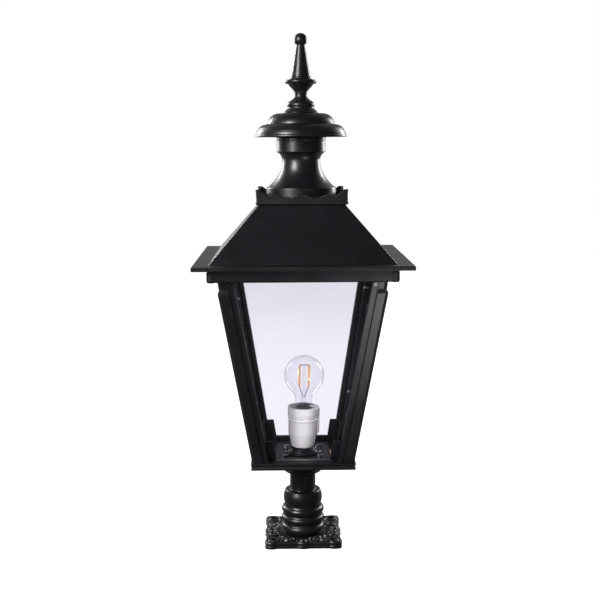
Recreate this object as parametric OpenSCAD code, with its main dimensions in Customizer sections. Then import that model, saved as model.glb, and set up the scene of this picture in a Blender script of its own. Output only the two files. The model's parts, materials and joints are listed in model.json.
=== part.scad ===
// Four-sided glazed pier lantern on a short turned pedestal.
// Millimetres, +Z up, front towards -Y, origin under the middle of the foot plate.

/* [Overall] */
// Width of the square eave plate, the widest part
eave_w = 300; // [290:1:380]
// Glazed height, from the floor casting to the top frame
cage_h = 268; // [200:1:340]
// Width of the square floor casting
floor_w = 152; // [140:1:190]
// Width of the square foot plate over its lobes
foot_w = 115; // [110:1:150]

/* [Foot and pedestal] */
// Thickness of the foot plate
foot_t = 8.5; // [7:0.5:14]
// Side of the square on which the four fixing holes lie
fixing_pitch = 88; // [84:1:96]
// Radius of each fixing hole, for an M8 bolt
fixing_r = 4.5; // [3.5:0.25:5.5]
// Height of the turned pedestal above the foot plate
pedestal_h = 95.2; // [75:0.1:130]
// Radius of the pedestal's lowest ring
ring_r = 32.6; // [31:0.1:36]
// Radius of the pedestal's bulge
bulge_r = 29.2; // [26:0.1:31]
// Radius of the pedestal's neck
neck_r = 19.3; // [18:0.1:22]
// Height of the flared boss under the floor casting
boss_h = 22.9; // [18:0.1:40]

/* [Lantern cage] */
// Height of the floor casting's rim
floor_t = 12.4; // [11:0.2:20]
// Width of the floor casting's rim
floor_rim = 16; // [15:0.5:22]
// Thickness of the sunken floor panel
floor_panel_t = 3; // [2.5:0.5:5]
// Distance from the floor's edge to the corner posts
floor_margin = 1.6; // [1:0.1:4]
// Width of the raised bead on each face of a post
bead_w = 15.5; // [12:0.5:16]
// Width of the groove beside the bead
groove_w = 3; // [2:0.5:5]
// Depth of that groove below the bead
groove_d = 3; // [2:0.1:3.4]
// Width of a post on each face, over its glazing flange
flange_w = 24; // [22:0.5:38]
// Step from the bead down to the glazing flange
flange_step = 1.5; // [1:0.1:2.5]
// Distance from the bead's face to the back of the flange
flange_back = 6; // [5.5:0.1:8]
// Size of the post's solid square core
core = 16; // [15:0.5:20]
// Height at the top of a post over which the bead is cut away
lug_h = 11; // [9:0.5:16]
// Thickness of a glass pane
pane_t = 4; // [3:0.5:6]
// Thickness of the rubber between a pane and its flange
seal_t = 1.5; // [1:0.1:3]
// Height of the top frame
top_h = 16.8; // [14:0.2:24]
// Width of a top frame rail
rail_w = 29.5; // [27:0.5:34]
// Wall of the top frame's hollow rails
rail_wall = 4; // [3:0.5:6]

/* [Roof] */
// Overhang of the eave plate past the top frame
eave_overhang = 19; // [18:0.5:30]
// Thickness of the eave plate
eave_t = 6.2; // [5:0.2:10]
// Inset of the pyramid roof from the edge of the eave plate
roof_inset = 22; // [20:0.5:40]
// Height of the pyramid roof
roof_h = 77; // [60:1:110]
// Wall of the pyramid roof
roof_wall = 3; // [2:0.5:5]
// Width of the square crown on top of the roof
crown_w = 130; // [118:1:150]
// Height of the crown's wall below its scallops
crown_h = 12; // [10:0.5:18]
// Radius of the chimney's base ring
chimney_base_r = 50.5; // [46:0.5:54]
// Radius of the chimney's waist
chimney_waist_r = 27.5; // [26:0.5:32]
// Radius of the collar at the top of the chimney
chimney_collar_r = 35.3; // [33:0.1:42]
// Radius of the cowl's brim
cowl_r = 66.4; // [58:0.1:80]
// Radius of the ball on the finial
ball_r = 9.5; // [8:0.1:12]

/* [Lamp] */
// Height of the porcelain lamp holder
holder_h = 61.5; // [58:0.5:70]
// Radius of the porcelain lamp holder
holder_r = 22; // [21:0.1:25]
// Radius of the bulb's globe, for a 60 mm bulb
globe_r = 30; // [27.5:0.5:33]
// Lean of the lamp holder to the right, in degrees
lamp_lean = 1.6; // [0:0.1:2]

/* [Hardware] */
// Radius of the hinge pins
hinge_pin_r = 2; // [1.5:0.1:2.4]
// Length of each roof hinge
hinge_l = 40; // [30:1:60]
// Distance of each hinge from the middle
hinge_x = 80; // [60:1:95]
// Radius of the roof lock screws, M5
lock_r = 2.5; // [2:0.1:3]
// Radius of the hollow tube that ties foot, floor and lamp holder together, M10
tube_r = 5; // [4.5:0.1:6]
// Radius of the rod that ties the roof parts together, M8
rod_r = 4; // [3:0.1:5]

/* [Hidden] */
$fn = 72;

// Clearances
fit = 0.05;       // radial, a fastener or pin in its hole
seat = 0.1;       // between parts that are clamped or glued together
run = 0.3;        // between parts that move past each other
cut = 1;          // how far a cutter runs past the face that it opens

// Finishes
powder_black = "#202024";
zinc = "#9c9ea2";
brass = "#b9974e";
porcelain_white = "#dddcd8";
rubber_black = "#18181a";
clear_glass = [0.95, 0.95, 0.98, 0.35];

// Heights, from the foot up
z_pedestal = foot_t;
z_boss = z_pedestal + pedestal_h;
z_floor = z_boss + boss_h;
z_cage = z_floor + floor_t;
z_top = z_cage + cage_h;
z_gasket = z_top + top_h;
gasket_t = 0.8;
z_eave = z_gasket + gasket_t + 0.2;
z_roof = z_eave + eave_t;
z_crown = z_roof + roof_h;
crown_deck_t = 4;
z_chimney = z_crown + crown_deck_t;
chimney_ring_h = 19;
chimney_flare_h = 38.5;
chimney_lip_h = 11;
chimney_collar_h = 22;
z_cowl = z_chimney + chimney_ring_h + chimney_flare_h + chimney_lip_h + chimney_collar_h;
cowl_h = 33.5;
z_finial = z_cowl + cowl_h;

// Floor
z_panel = z_floor + 3;
z_panel_top = z_panel + floor_panel_t;
floor_half = floor_w / 2;
tray_half = floor_half - floor_rim;
pad_r = 46;
boss_screw_at = 25;
boss_screw_r = 2;
earth_at = 44;

// Cage: the outer planes of the posts lean outwards by the same slope on all four faces
top_half = eave_w / 2 - eave_overhang;
post_inset = 11.1;
slope = ((top_half - post_inset) - (floor_half - floor_margin)) / cage_h;
function half(z) = floor_half - floor_margin + slope * (z - z_cage);

// Post section
chamfer = 4.5;
lug_step = 3.5;
lug_slant = 6;
z_lug = z_top - lug_h;
z_lug_hole = z_top - 5;
lug_hole_r = 2.6;
lug_hole_u = bead_w + groove_w + 1.2;

// Glazing, as depths behind the bead's face
pane_near = flange_back + seal_t;
pane_far = pane_near + pane_t;
pane_edge = core + 1;
pane_end_gap = 0.3;
bead_strip_t = 4.2;
bead_strip_w = flange_w - core - 0.1;
ear_near = max(core + run, pane_far + seat + bead_strip_t + seat);
ear_t = 4;
ear_w = 35;
ear_h = 27;
glazing_screw_r = 1.2;
glazing_screw_l = 6;
glazing_head_r = 2;
glazing_head_h = 1.4;
glazing_seat = 0.5;
glazing_screw_z = [55, 215];
glazing_screw_skip = 16;
strip_mid = pane_far + seat + bead_strip_t / 2;
socket_screw_r = 1.8;
socket_head_r = 3;
socket_screw_z = z_cage + 13;
post_screw_r = 2;
post_screw_u = (lug_step + core) / 2;
post_screw_l = 11;

// Top frame
rail_half = top_half - 1.5;
rail_in = rail_half - rail_w;
column_r = 6;
channel_l = half(z_top) - flange_w - 2;
channel_roof = 4;
eave_half = eave_w / 2;
eave_open = rail_in - 10;
tab_t = 3;
tab_w = 16;
tab_h = 13;
z_lock = z_top + 9;
knob_r = 6;
knob_l = 6;

// Roof hinge, behind the top frame
hinge_r = 4;
hinge_y = rail_half + 8;
hinge_z = z_eave - 5.3;
leaf_t = 2;
knuckle_gap = 0.4;
roof_knuckle_l = hinge_l / 2;
hinge_screw_r = 1.6;
hinge_screw_x = 13;
roof_screw_r = 1.8;
roof_screw_at = (eave_open + rail_in) / 2;
roof_screw_along = eave_open - 20;

// Roof
roof_base = eave_half - roof_inset;
roof_top = crown_w / 2 - 4;
roof_lean = (roof_base - roof_top) / roof_h;
roof_wall_h = roof_wall * sqrt(1 + roof_lean * roof_lean);
vent_r = 28;
crown_wall = 4;
bridge_t = 6;
z_bridge = z_crown - roof_wall - bridge_t - seat;
chimney_bore = 18;
chimney_lid_t = 5;
vent_hole_r = 3.5;
vent_hole_at = 13;
rod_in_finial = 24;

// Tie tube
tube_bore = 3.5;
z_web = foot_t + 13.5;
web_t = 6;
nut_h = 6;
nut_af = 17;
washer_t = 1.5;
z_tube = z_web - 9.5;
z_dome_top = z_panel_top + 8.4;
dome_wall = 1.8;
dome_r = 28;
spigot_r = 17;
spigot_h = 14;
foot_hole_r = 20;
foot_screw_at = 26;
foot_screw_r = 2.5;
lead_r = 0.9;
lead_at = 1.6;
block_h = 8;
block_z = 1;

// Lamp, measured up from the base of the holder
holder_gap = 0.5;
z_holder = z_dome_top + holder_gap;
holder_well = 26;
shell_r = 15.4;
shell_t = 1.2;
shell_h = 29;
tip_z = holder_well + 6.5;
cap_r = 13.2;
cap_z = tip_z + 5.5;
cap_h = 22;
glass_z = cap_z + cap_h + seat;
globe_z = glass_z + 49;
glass_t = 0.9;
filament_l = 28;
filament_r = 1;
wire_r = 0.35;
filament_x = 7;
filament_y = 4;
contact_z = 15;

// ---------- shapes ----------

// Points of an arc about [cx, cy]
function arc(cx, cy, r, a0, a1, n = 10) =
    [for (i = [0:n]) let (a = a0 + (a1 - a0) * i / n) [cx + r * cos(a), cy + r * sin(a)]];

// Rectangle, anticlockwise
function rect(u0, u1, v0, v1) = [[u0, v0], [u1, v0], [u1, v1], [u0, v1]];

// An outline given as depths inwards from a cage corner, placed at height z
function corner_at(outline, z) = [for (p = outline) [half(z) - p[0], half(z) - p[1], z]];

// Closed solid through outlines that have equally many points, lowest first
module skin(levels) {
    n = len(levels[0]);
    m = len(levels);
    polyhedron(
        points = [for (level = levels, p = level) p],
        faces = concat(
            [[for (i = [0:n - 1]) i]],
            [for (k = [0:m - 2], i = [0:n - 1])
                [k * n + i, (k + 1) * n + i, (k + 1) * n + (i + 1) % n, k * n + (i + 1) % n]],
            [[for (i = [n - 1:-1:0]) (m - 1) * n + i]]));
}

// The same outline carried up a leaning corner
module leaning(outline, z0, z1) {
    skin([corner_at(outline, z0), corner_at(outline, z1)]);
}

module four_corners() {
    for (k = [0:3]) rotate(90 * k) children();
}

module block(half_x, half_y, z0, z1) {
    translate([-half_x, -half_y, z0]) cube([2 * half_x, 2 * half_y, z1 - z0]);
}

module disc(r, z0, z1) {
    translate([0, 0, z0]) cylinder(h = z1 - z0, r = r);
}

// Cross-head screw: the head stands on z = 0 and the shank hangs below it
module screw(shank_r, shank_l, head_r, head_h) {
    difference() {
        union() {
            cylinder(h = head_h, r = head_r);
            translate([0, 0, -shank_l]) cylinder(h = shank_l + head_h / 2, r = shank_r);
        }
        for (a = [0, 90]) rotate(a)
            translate([-head_r * 0.55, -0.4, head_h * 0.55]) cube([head_r * 1.1, 0.8, head_h]);
    }
}

module hex_nut(bore_r, across, h) {
    difference() {
        cylinder(h = h, r = across / sqrt(3), $fn = 6);
        translate([0, 0, -cut]) cylinder(h = h + 2 * cut, r = bore_r + fit);
    }
}

module turned(profile) {
    rotate_extrude() polygon(profile);
}

// ---------- foot and pedestal ----------

module foot_plate() {
    lobe_r = 11;
    lobe_at = foot_w / 2 - lobe_r;
    web_half = foot_w / 2 - 5;
    edge_r = 13;
    scroll_r = 6;
    scroll_tube = 2.2;
    color(powder_black) difference() {
        union() {
            block(web_half, web_half, 0, foot_t);
            disc(ring_r + 5, foot_t - cut, foot_t + 1);
            four_corners() {
                translate([lobe_at, lobe_at, 0]) cylinder(h = foot_t, r = lobe_r);
                translate([0, foot_w / 2 - edge_r, 0]) cylinder(h = foot_t, r = edge_r);
                translate([fixing_pitch / 2, fixing_pitch / 2, 0]) cylinder(h = foot_t + 2.5, r = 8.5);
                for (side = [-1, 1])
                    translate([side * 19, web_half - scroll_r - 3, foot_t]) rotate_extrude()
                        translate([scroll_r, 0]) circle(r = scroll_tube, $fn = 24);
                translate([0, foot_w / 2 - 9, foot_t - 2]) sphere(r = 6, $fn = 32);
            }
        }
        disc(foot_hole_r, -cut, foot_t + 2 * cut);
        four_corners() {
            translate([fixing_pitch / 2, fixing_pitch / 2, 0]) disc(fixing_r, -cut, foot_t + 5);
            rotate(45) translate([foot_screw_at, 0, 0]) {
                disc(foot_screw_r + fit, -cut, foot_t + 2 * cut);
                disc(foot_screw_r * 2 + 0.5, -cut, 3.2);
            }
        }
    }
}

module pedestal() {
    z0 = foot_t + 1;
    z1 = z_boss;
    groove_r = ring_r - 2;
    ring = [15, 12.5, 14.5];
    rings_top = z0 + ring[0] + ring[1] + ring[2];
    bulge_top = rings_top + 24;
    cavity_r = 20;
    color(powder_black) difference() {
        turned(concat(
            [[0, z0], [ring_r - 2.5, z0]],
            arc(ring_r - 6, z0 + 7, 6, -60, 60, 8),
            [[groove_r, z0 + ring[0] - 0.6], [groove_r, z0 + ring[0] + 0.4]],
            arc(ring_r - 5.8, z0 + ring[0] + 6.2, 5.2, -60, 60, 8),
            [[groove_r, z0 + ring[0] + ring[1] - 0.6], [groove_r - 0.4, z0 + ring[0] + ring[1] + 0.4]],
            arc(ring_r - 6.8, z0 + ring[0] + ring[1] + 7, 6, -60, 60, 8),
            [[bulge_r - 1, rings_top + 1]],
            arc(bulge_r - 24, rings_top + 11, 24, -18, 22, 8),
            arc(neck_r + 4.2, bulge_top - 4.8, 4.4, 40, 90, 5),
            [[neck_r, bulge_top], [neck_r, z1 - 2.5], [neck_r + 1, z1],
             [spigot_r, z1], [spigot_r, z1 + spigot_h], [0, z1 + spigot_h]]));
        disc(cavity_r, z0 - cut, z_web);
        disc(spigot_r - 4, z_web + web_t, z1 + spigot_h - 5);
        disc(tube_r + fit, z0, z1 + spigot_h + cut);
        four_corners() rotate(45) translate([foot_screw_at, 0, 0])
            disc(foot_screw_r + fit, z0 - cut, z0 + 10);
    }
}

module foot_screws() {
    color(zinc) four_corners() rotate(45) translate([foot_screw_at, 0, 3]) mirror([0, 0, 1])
        screw(foot_screw_r, foot_t + 7, foot_screw_r * 2, 2.4);
}

module tie_tube() {
    color(zinc) difference() {
        disc(tube_r, z_tube, z_dome_top + 5);
        disc(tube_bore, z_tube - cut, z_dome_top + 5 + cut);
    }
}

module tie_nuts() {
    color(zinc) {
        translate([0, 0, z_web - washer_t - seat - nut_h]) hex_nut(tube_r, nut_af, nut_h - seat);
        translate([0, 0, z_panel_top + washer_t + 2 * seat]) hex_nut(tube_r, nut_af, 4.2);
    }
}

module tie_washers() {
    color(zinc) for (z = [z_web - washer_t - seat / 2, z_panel_top + seat / 2])
        difference() {
            disc(11, z, z + washer_t);
            disc(tube_r + fit, z - cut, z + washer_t + cut);
        }
}

module cable_bush() {
    color(rubber_black) difference() {
        union() {
            disc(tube_r + 1, z_tube - 1.6, z_tube - seat);
            disc(tube_bore - fit, z_tube - 1.6, z_tube + 5);
        }
        disc(lead_at + lead_r + 0.25, z_tube - 3, z_tube + 6);
    }
}

module terminal_block() {
    color(porcelain_white) block(9, 6, block_z, block_z + block_h);
}

module lead(side) {
    translate([side * lead_at, 0, 0])
        disc(lead_r, block_z + block_h, z_holder + contact_z - seat);
}
module lead_live() { color("#6b3f22") lead(1); }
module lead_neutral() { color("#2c5a9c") lead(-1); }

// ---------- floor ----------

module neck_boss() {
    top_r = pad_r - 2;
    foot_r = 28.4;
    foot_h = 4.6;
    color(powder_black) difference() {
        turned(concat(
            [[0, z_boss + seat], [foot_r - 1.6, z_boss + seat], [foot_r, z_boss + 1.6]],
            [for (t = [0, 0.03, 0.1, 0.25, 0.5, 0.8])
                [foot_r + (top_r - foot_r) * pow(t, 0.4), z_boss + foot_h + (boss_h - foot_h) * t]],
            [[top_r, z_floor - seat], [0, z_floor - seat]]));
        disc(spigot_r + seat, z_boss - cut, z_boss + spigot_h + seat);
        disc(tube_r + fit, z_boss, z_floor + cut);
        four_corners() translate([boss_screw_at, boss_screw_at, 0])
            disc(boss_screw_r + fit, z_floor - 10, z_floor + cut);
    }
}

module floor_frame() {
    ear = [[ear_near, ear_near], [ear_w, ear_near], [ear_w, ear_near + ear_t],
           [ear_near + ear_t + 4, ear_near + ear_t], [ear_near + ear_t, ear_near + ear_t + 4],
           [ear_near + ear_t, ear_w], [ear_near, ear_w]];
    color(powder_black) difference() {
        union() {
            difference() {
                block(floor_half, floor_half, z_floor, z_cage);
                block(tray_half, tray_half, z_panel_top, z_cage + cut);
                block(tray_half, tray_half, z_floor - cut, z_panel);
                // shadow line round the rim
                four_corners() translate([-floor_w, floor_half - 1, z_floor + floor_t * 0.42])
                    cube([2 * floor_w, 2, 2]);
            }
            disc(pad_r, z_floor, z_panel_top);
            four_corners() leaning(ear, z_panel_top - 1, z_cage + ear_h);
        }
        disc(tube_r + fit, z_floor - cut, z_panel_top + cut);
        four_corners() {
            translate([boss_screw_at, boss_screw_at, 0])
                disc(boss_screw_r + fit, z_floor - cut, z_panel_top + cut);
            socket_screw_axis() {
                translate([0, 0, -cut]) cylinder(h = 30, r = socket_screw_r + fit);
                translate([0, 0, -10]) cylinder(h = 10, r = socket_head_r + run);
            }
        }
        translate([earth_at, 0, 0]) disc(boss_screw_r + fit, z_floor - cut, z_panel_top + cut);
    }
}

// Frame whose z axis runs along the diagonal socket screw, with its origin at the screw's head
module socket_screw_axis() {
    at = half(socket_screw_z) - ear_near - ear_t - 2;
    translate([at, at, socket_screw_z]) rotate([0, 90, 45]) children();
}

module boss_screws() {
    color(zinc) four_corners() translate([boss_screw_at, boss_screw_at, z_panel_top])
        screw(boss_screw_r, 15, 4, 2.6);
}

module earth_screw() {
    color(brass) translate([earth_at, 0, z_panel_top]) screw(boss_screw_r, 6, 4.5, 2.6);
}

module socket_screws() {
    color(zinc) four_corners() socket_screw_axis() mirror([0, 0, 1])
        screw(socket_screw_r, ear_t + 12, socket_head_r, 1.8);
}

module holder_dome() {
    color(powder_black) difference() {
        turned([[0, z_panel_top], [dome_r, z_panel_top], [dome_r, z_panel_top + 2],
                [dome_r - 2, z_panel_top + 3.4], [21, z_panel_top + 4.6], [18.5, z_panel_top + 6.4],
                [17.5, z_dome_top], [0, z_dome_top]]);
        turned([[0, z_panel_top - cut], [dome_r - dome_wall, z_panel_top - cut],
                [dome_r - dome_wall, z_panel_top + 1], [19.5, z_panel_top + 3],
                [14.5, z_dome_top - dome_wall], [0, z_dome_top - dome_wall]]);
        disc(tube_r + fit, z_panel_top, z_dome_top + cut);
    }
}

// ---------- lamp ----------

module lamp_axis() {
    translate([0, 0, z_holder]) rotate([0, lamp_lean, 0]) children();
}

module holder_body() {
    r = holder_r;
    h = holder_h;
    color(porcelain_white) lamp_axis() difference() {
        union() {
            turned([[0, 0], [16, 0], [17, 1.2], [r - 0.8, 18.5], [r, 21], [r, 40], [r + 0.9, 41],
                    [r + 0.9, 43.5], [r + 0.3, 44], [r + 0.3, 46], [r + 0.9, 46.5], [r + 0.9, 49.5],
                    [r + 1.5, 50.5], [r + 1.5, h - 1], [r + 0.8, h], [0, h]]);
            // side rib over the clamping screw
            rotate(-8) translate([r - 3, -2.6, 22]) cube([5.6, 5.2, h - 24]);
        }
        disc(shell_r + seat, holder_well, h + cut);
        disc(shell_r + 2, h - 4, h + cut);
        disc(12, 8, holder_well - 4);
        disc(tube_r + 1, -cut, 9);
        disc(4, holder_well - 5, holder_well + cut);
    }
}

module holder_shell() {
    color(brass) lamp_axis() difference() {
        disc(shell_r, holder_well + seat, holder_well + shell_h);
        disc(shell_r - shell_t, holder_well + 1.2, holder_well + shell_h + cut);
        disc(6, holder_well - cut, holder_well + 2);
    }
}

module holder_contacts() {
    color(brass) lamp_axis() {
        disc(3, holder_well - 4.8, tip_z - run);
        translate([lead_at + 3, 0, 0]) block(5.5, 2.5, contact_z, contact_z + 5);
        translate([-lead_at - 3, 0, 0]) block(3.5, 2.5, contact_z, contact_z + 5);
    }
}

module bulb_glass() {
    color(clear_glass) lamp_axis() difference() {
        turned(envelope(0));
        turned(envelope(glass_t));
    }
}

// Outline of the bulb's glass, moved inwards by t
function envelope(t) = concat(
    [[0, glass_z + t], [cap_r - 0.4 - t, glass_z + t], [cap_r - 0.4 - t, glass_z + 9]],
    arc(cap_r + 13.6, glass_z + 12, 14 + t, 180, 146, 6),
    arc(0, globe_z, globe_r - t, -36, 90, 26));

module bulb_cap() {
    color(zinc) lamp_axis() difference() {
        union() {
            disc(cap_r - 0.6, cap_z, cap_z + cap_h);
            for (i = [0:3]) disc(cap_r, cap_z + 3 + 3.6 * i, cap_z + 4.8 + 3.6 * i);
            disc(cap_r, cap_z + cap_h - 3, cap_z + cap_h);
        }
        disc(cap_r - 1.4, cap_z - cut, cap_z + cap_h + cut);
    }
}

module bulb_insulator() {
    color("#151517") lamp_axis() difference() {
        turned([[0, tip_z + 1], [5, tip_z + 1], [cap_r - 1.5, cap_z], [cap_r - 1.5, cap_z + 2],
                [0, cap_z + 2]]);
        disc(2.6, tip_z - cut, cap_z + 3);
    }
}

module bulb_tip() {
    color(zinc) lamp_axis() turned([[0, tip_z], [4.2, tip_z], [4.6, tip_z + 0.9], [2.5, tip_z + 0.95],
                                    [2.5, cap_z + 3], [0, cap_z + 3]]);
}

module rod_between(a, b, r) {
    d = b - a;
    translate(a) rotate([0, acos(d[2] / norm(d)), atan2(d[1], d[0])])
        cylinder(h = norm(d), r = r, $fn = 16);
}

module bulb_stem() {
    foot_z = glass_z + glass_t + seat;
    top_z = globe_z + 16;
    color(clear_glass) lamp_axis() {
        turned([[0, foot_z], [10, foot_z], [9, foot_z + 2], [4, foot_z + 8], [3.2, foot_z + 22],
                [1.3, foot_z + 26], [1.3, top_z], [0, top_z]]);
        for (x = [-filament_x, filament_x], y = [-filament_y, filament_y]) {
            rod_between([0, 0, top_z - 1], [x, y, top_z - 1.4], wire_r);
            rod_between([0, 0, foot_z + 18], [x, y, top_z - filament_l - 2.6], wire_r);
        }
    }
}

module bulb_filaments() {
    top_z = globe_z + 16;
    color("#e8a04a") lamp_axis() for (x = [-1, 1], y = [-1, 1])
        translate([x * filament_x, y * filament_y, 0])
            disc(filament_r, top_z - filament_l - 2.2, top_z - 1.8);
}

// ---------- posts and glazing ----------

// Section of a post; face is how far the bead's face is cut back
function post_outline(face) =
    let (g = max(groove_d, face + 0.5), inner = bead_w + groove_w)
    [[face + chamfer, face], [bead_w, face], [bead_w, g], [inner, g], [inner, flange_step],
     [flange_w, flange_step], [flange_w, flange_back], [core, flange_back], [core, core],
     [flange_back, core], [flange_back, flange_w], [flange_step, flange_w], [flange_step, inner],
     [g, inner], [g, bead_w], [face, bead_w], [face, face + chamfer]];

module post(quarter) {
    color(powder_black) rotate(90 * quarter) difference() {
        skin([corner_at(post_outline(0), z_cage),
              corner_at(post_outline(0), z_lug - lug_slant),
              corner_at(post_outline(lug_step), z_lug),
              corner_at(post_outline(lug_step), z_top)]);
        // the hole in each flange, below the top frame
        translate([half(z_lug_hole) - lug_hole_u, half(z_lug_hole) + 5, z_lug_hole])
            rotate([90, 0, 0]) cylinder(h = 16, r = lug_hole_r);
        translate([half(z_lug_hole) + 5, half(z_lug_hole) - lug_hole_u, z_lug_hole])
            rotate([0, -90, 0]) cylinder(h = 16, r = lug_hole_r);
        socket_screw_axis() translate([0, 0, -1]) cylinder(h = ear_t + 14, r = socket_screw_r + fit);
        translate([post_at(), post_at(), 0]) disc(post_screw_r + fit, z_top - post_screw_l, z_top + cut);
        glazing_screw_places() cylinder(h = bead_strip_w + glazing_screw_l, r = glazing_screw_r + fit);
    }
}
function post_at() = half(z_top) - post_screw_u;

module post_back_right() { post(0); }
module post_back_left() { post(1); }
module post_front_left() { post(2); }
module post_front_right() { post(3); }

// Frames whose z axis runs from a glazing strip's inner edge into the post's core
module glazing_screw_places() {
    inner = core + seat + bead_strip_w - glazing_seat;
    for (dz = glazing_screw_z) {
        z = z_cage + dz;
        translate([half(z) - inner, half(z) - strip_mid, z]) rotate([0, 90, 0]) children();
        translate([half(z + glazing_screw_skip) - strip_mid, half(z + glazing_screw_skip) - inner,
                   z + glazing_screw_skip]) rotate([-90, 0, 0]) children();
    }
}

module pane(quarter) {
    z0 = z_cage + pane_end_gap;
    z1 = z_top - pane_end_gap;
    color(clear_glass) rotate(90 * quarter) skin([for (z = [z0, z1])
        let (x = half(z) - pane_edge, y0 = half(z) - pane_near, y1 = half(z) - pane_far)
        [[-x, -y0, z], [x, -y0, z], [x, -y1, z], [-x, -y1, z]]]);
}
module glass_front() { pane(0); }
module glass_right() { pane(1); }
module glass_back() { pane(2); }
module glass_left() { pane(3); }

// A strip along both legs of each corner, given by its place along the face and its depth.
// It stops under the lugs, so that the lugs' holes stay open
module corner_strips(along, deep) {
    z0 = z_cage + pane_end_gap;
    z1 = z_top - lug_h - 0.5;
    four_corners() {
        leaning(rect(along[0], along[1], deep[0], deep[1]), z0, z1);
        leaning(rect(deep[0], deep[1], along[0], along[1]), z0, z1);
    }
}

module glazing_seals() {
    color(rubber_black) corner_strips([pane_edge + 1, flange_w - 2], [flange_back + fit, pane_near - fit]);
}

module glazing_beads() {
    color(powder_black) difference() {
        corner_strips([core + seat, core + seat + bead_strip_w],
                      [pane_far + seat, pane_far + seat + bead_strip_t]);
        four_corners() {
            glazing_screw_places() {
                cylinder(h = bead_strip_w + cut, r = glazing_screw_r + fit);
                // flat seat for the head on the leaning edge
                translate([0, 0, -2 * glazing_head_h])
                    cylinder(h = 2 * glazing_head_h, r = glazing_head_r + 0.2);
            }
            socket_screw_axis() cylinder(h = 30, r = socket_screw_r + fit);
        }
    }
}

module glazing_screws() {
    shank_l = bead_strip_w - glazing_seat + glazing_screw_l;
    color(zinc) four_corners() glazing_screw_places() mirror([0, 0, 1])
        screw(glazing_screw_r, shank_l, glazing_head_r, glazing_head_h);
}

// ---------- top frame ----------

module top_frame() {
    color(powder_black) difference() {
        union() {
            block(rail_half, rail_half, z_top, z_gasket);
            four_corners() translate([top_half - column_r, top_half - column_r, 0])
                disc(column_r, z_top, z_gasket);
        }
        block(rail_in, rail_in, z_top - cut, z_gasket + cut);
        four_corners() {
            translate([-channel_l, rail_in + rail_wall, z_top - cut])
                cube([2 * channel_l, rail_w - 2 * rail_wall, top_h - channel_roof + cut]);
            translate([post_at(), post_at(), 0]) {
                disc(post_screw_r + fit, z_top - cut, z_gasket + cut);
                disc(4.2, z_gasket - 5, z_gasket + cut);
            }
        }
        for (side = [-1, 1]) {
            translate([side * (rail_in - cut), 0, z_lock]) rotate([0, side * 90, 0])
                cylinder(h = rail_w + 2 * cut, r = lock_r + fit);
            hinge_frame_screw_places(side) translate([0, 0, -rail_wall + 0.5])
                cylinder(h = rail_wall + cut, r = hinge_screw_r + fit);
        }
    }
}

module post_screws() {
    color(zinc) four_corners() translate([post_at(), post_at(), z_gasket - 5])
        screw(post_screw_r, top_h - 5 + post_screw_l - 0.5, 4, 2.6);
}

module roof_gasket() {
    color(rubber_black) difference() {
        block(rail_half - 3, rail_half - 3, z_gasket, z_gasket + gasket_t);
        block(rail_in + 3, rail_in + 3, z_gasket - cut, z_gasket + 2 * cut);
    }
}

// ---------- roof hinge ----------

module knuckle(x0, x1, bore) {
    difference() {
        children();
        translate([x0 - cut, hinge_y, hinge_z]) rotate([0, 90, 0])
            cylinder(h = x1 - x0 + 2 * cut, r = bore);
    }
}

module barrel(x0, x1) {
    translate([x0, hinge_y, hinge_z]) rotate([0, 90, 0]) cylinder(h = x1 - x0, r = hinge_r);
}

module hinge_frame_leaves() {
    outer = hinge_l / 2;
    inner = roof_knuckle_l / 2 + knuckle_gap;
    color(powder_black) for (side = [-1, 1]) translate([side * hinge_x, 0, 0]) difference() {
        union() {
            translate([-outer, rail_half + fit, z_top + 1.5]) cube([hinge_l, leaf_t, top_h - 2]);
            for (ends = [[-outer, -inner], [inner, outer]]) knuckle(ends[0], ends[1], hinge_pin_r + 0.02) {
                union() {
                    barrel(ends[0], ends[1]);
                    translate([ends[0], rail_half + 1, hinge_z - 2])
                        cube([ends[1] - ends[0], hinge_y - rail_half - 1, 4]);
                }
            }
        }
        for (x = [-1, 1]) translate([x * hinge_screw_x, rail_half - cut, z_top + 5]) rotate([-90, 0, 0])
            cylinder(h = 5, r = hinge_screw_r + fit);
    }
}

module hinge_frame_screw_places(side) {
    for (x = [-1, 1]) translate([side * hinge_x + x * hinge_screw_x, rail_half, z_top + 5])
        rotate([-90, 0, 0]) children();
}

module hinge_frame_screws() {
    color(zinc) for (side = [-1, 1]) hinge_frame_screw_places(side)
        translate([0, 0, leaf_t + fit]) screw(hinge_screw_r, leaf_t + 3, 3, 1.6);
}

module hinge_pins() {
    color(zinc) for (side = [-1, 1]) translate([side * hinge_x - hinge_l / 2 - 1, hinge_y, hinge_z])
        rotate([0, 90, 0]) cylinder(h = hinge_l + 2, r = hinge_pin_r);
}

module hinge_roof_leaves() {
    outer = hinge_l / 2;
    inner = roof_knuckle_l / 2;
    plate_y = hinge_y + hinge_r + 0.8;
    z_plate = z_eave - leaf_t;
    color(powder_black) for (side = [-1, 1]) translate([side * hinge_x, 0, 0]) difference() {
        knuckle(-inner, inner, hinge_pin_r + 0.06) union() {
            barrel(-inner, inner);
            translate([-inner, hinge_y, hinge_z])
                cube([2 * inner, plate_y - hinge_y + 1, z_eave - hinge_z]);
            translate([-outer, plate_y, z_plate]) cube([hinge_l, eave_half - 1 - plate_y, leaf_t]);
        }
        for (x = [-1, 1]) translate([x * hinge_screw_x, hinge_roof_screw_y(), 0])
            disc(hinge_screw_r + fit, z_plate - cut, z_eave + cut);
    }
}
function hinge_roof_screw_y() = (hinge_y + hinge_r + eave_half) / 2;

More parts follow.
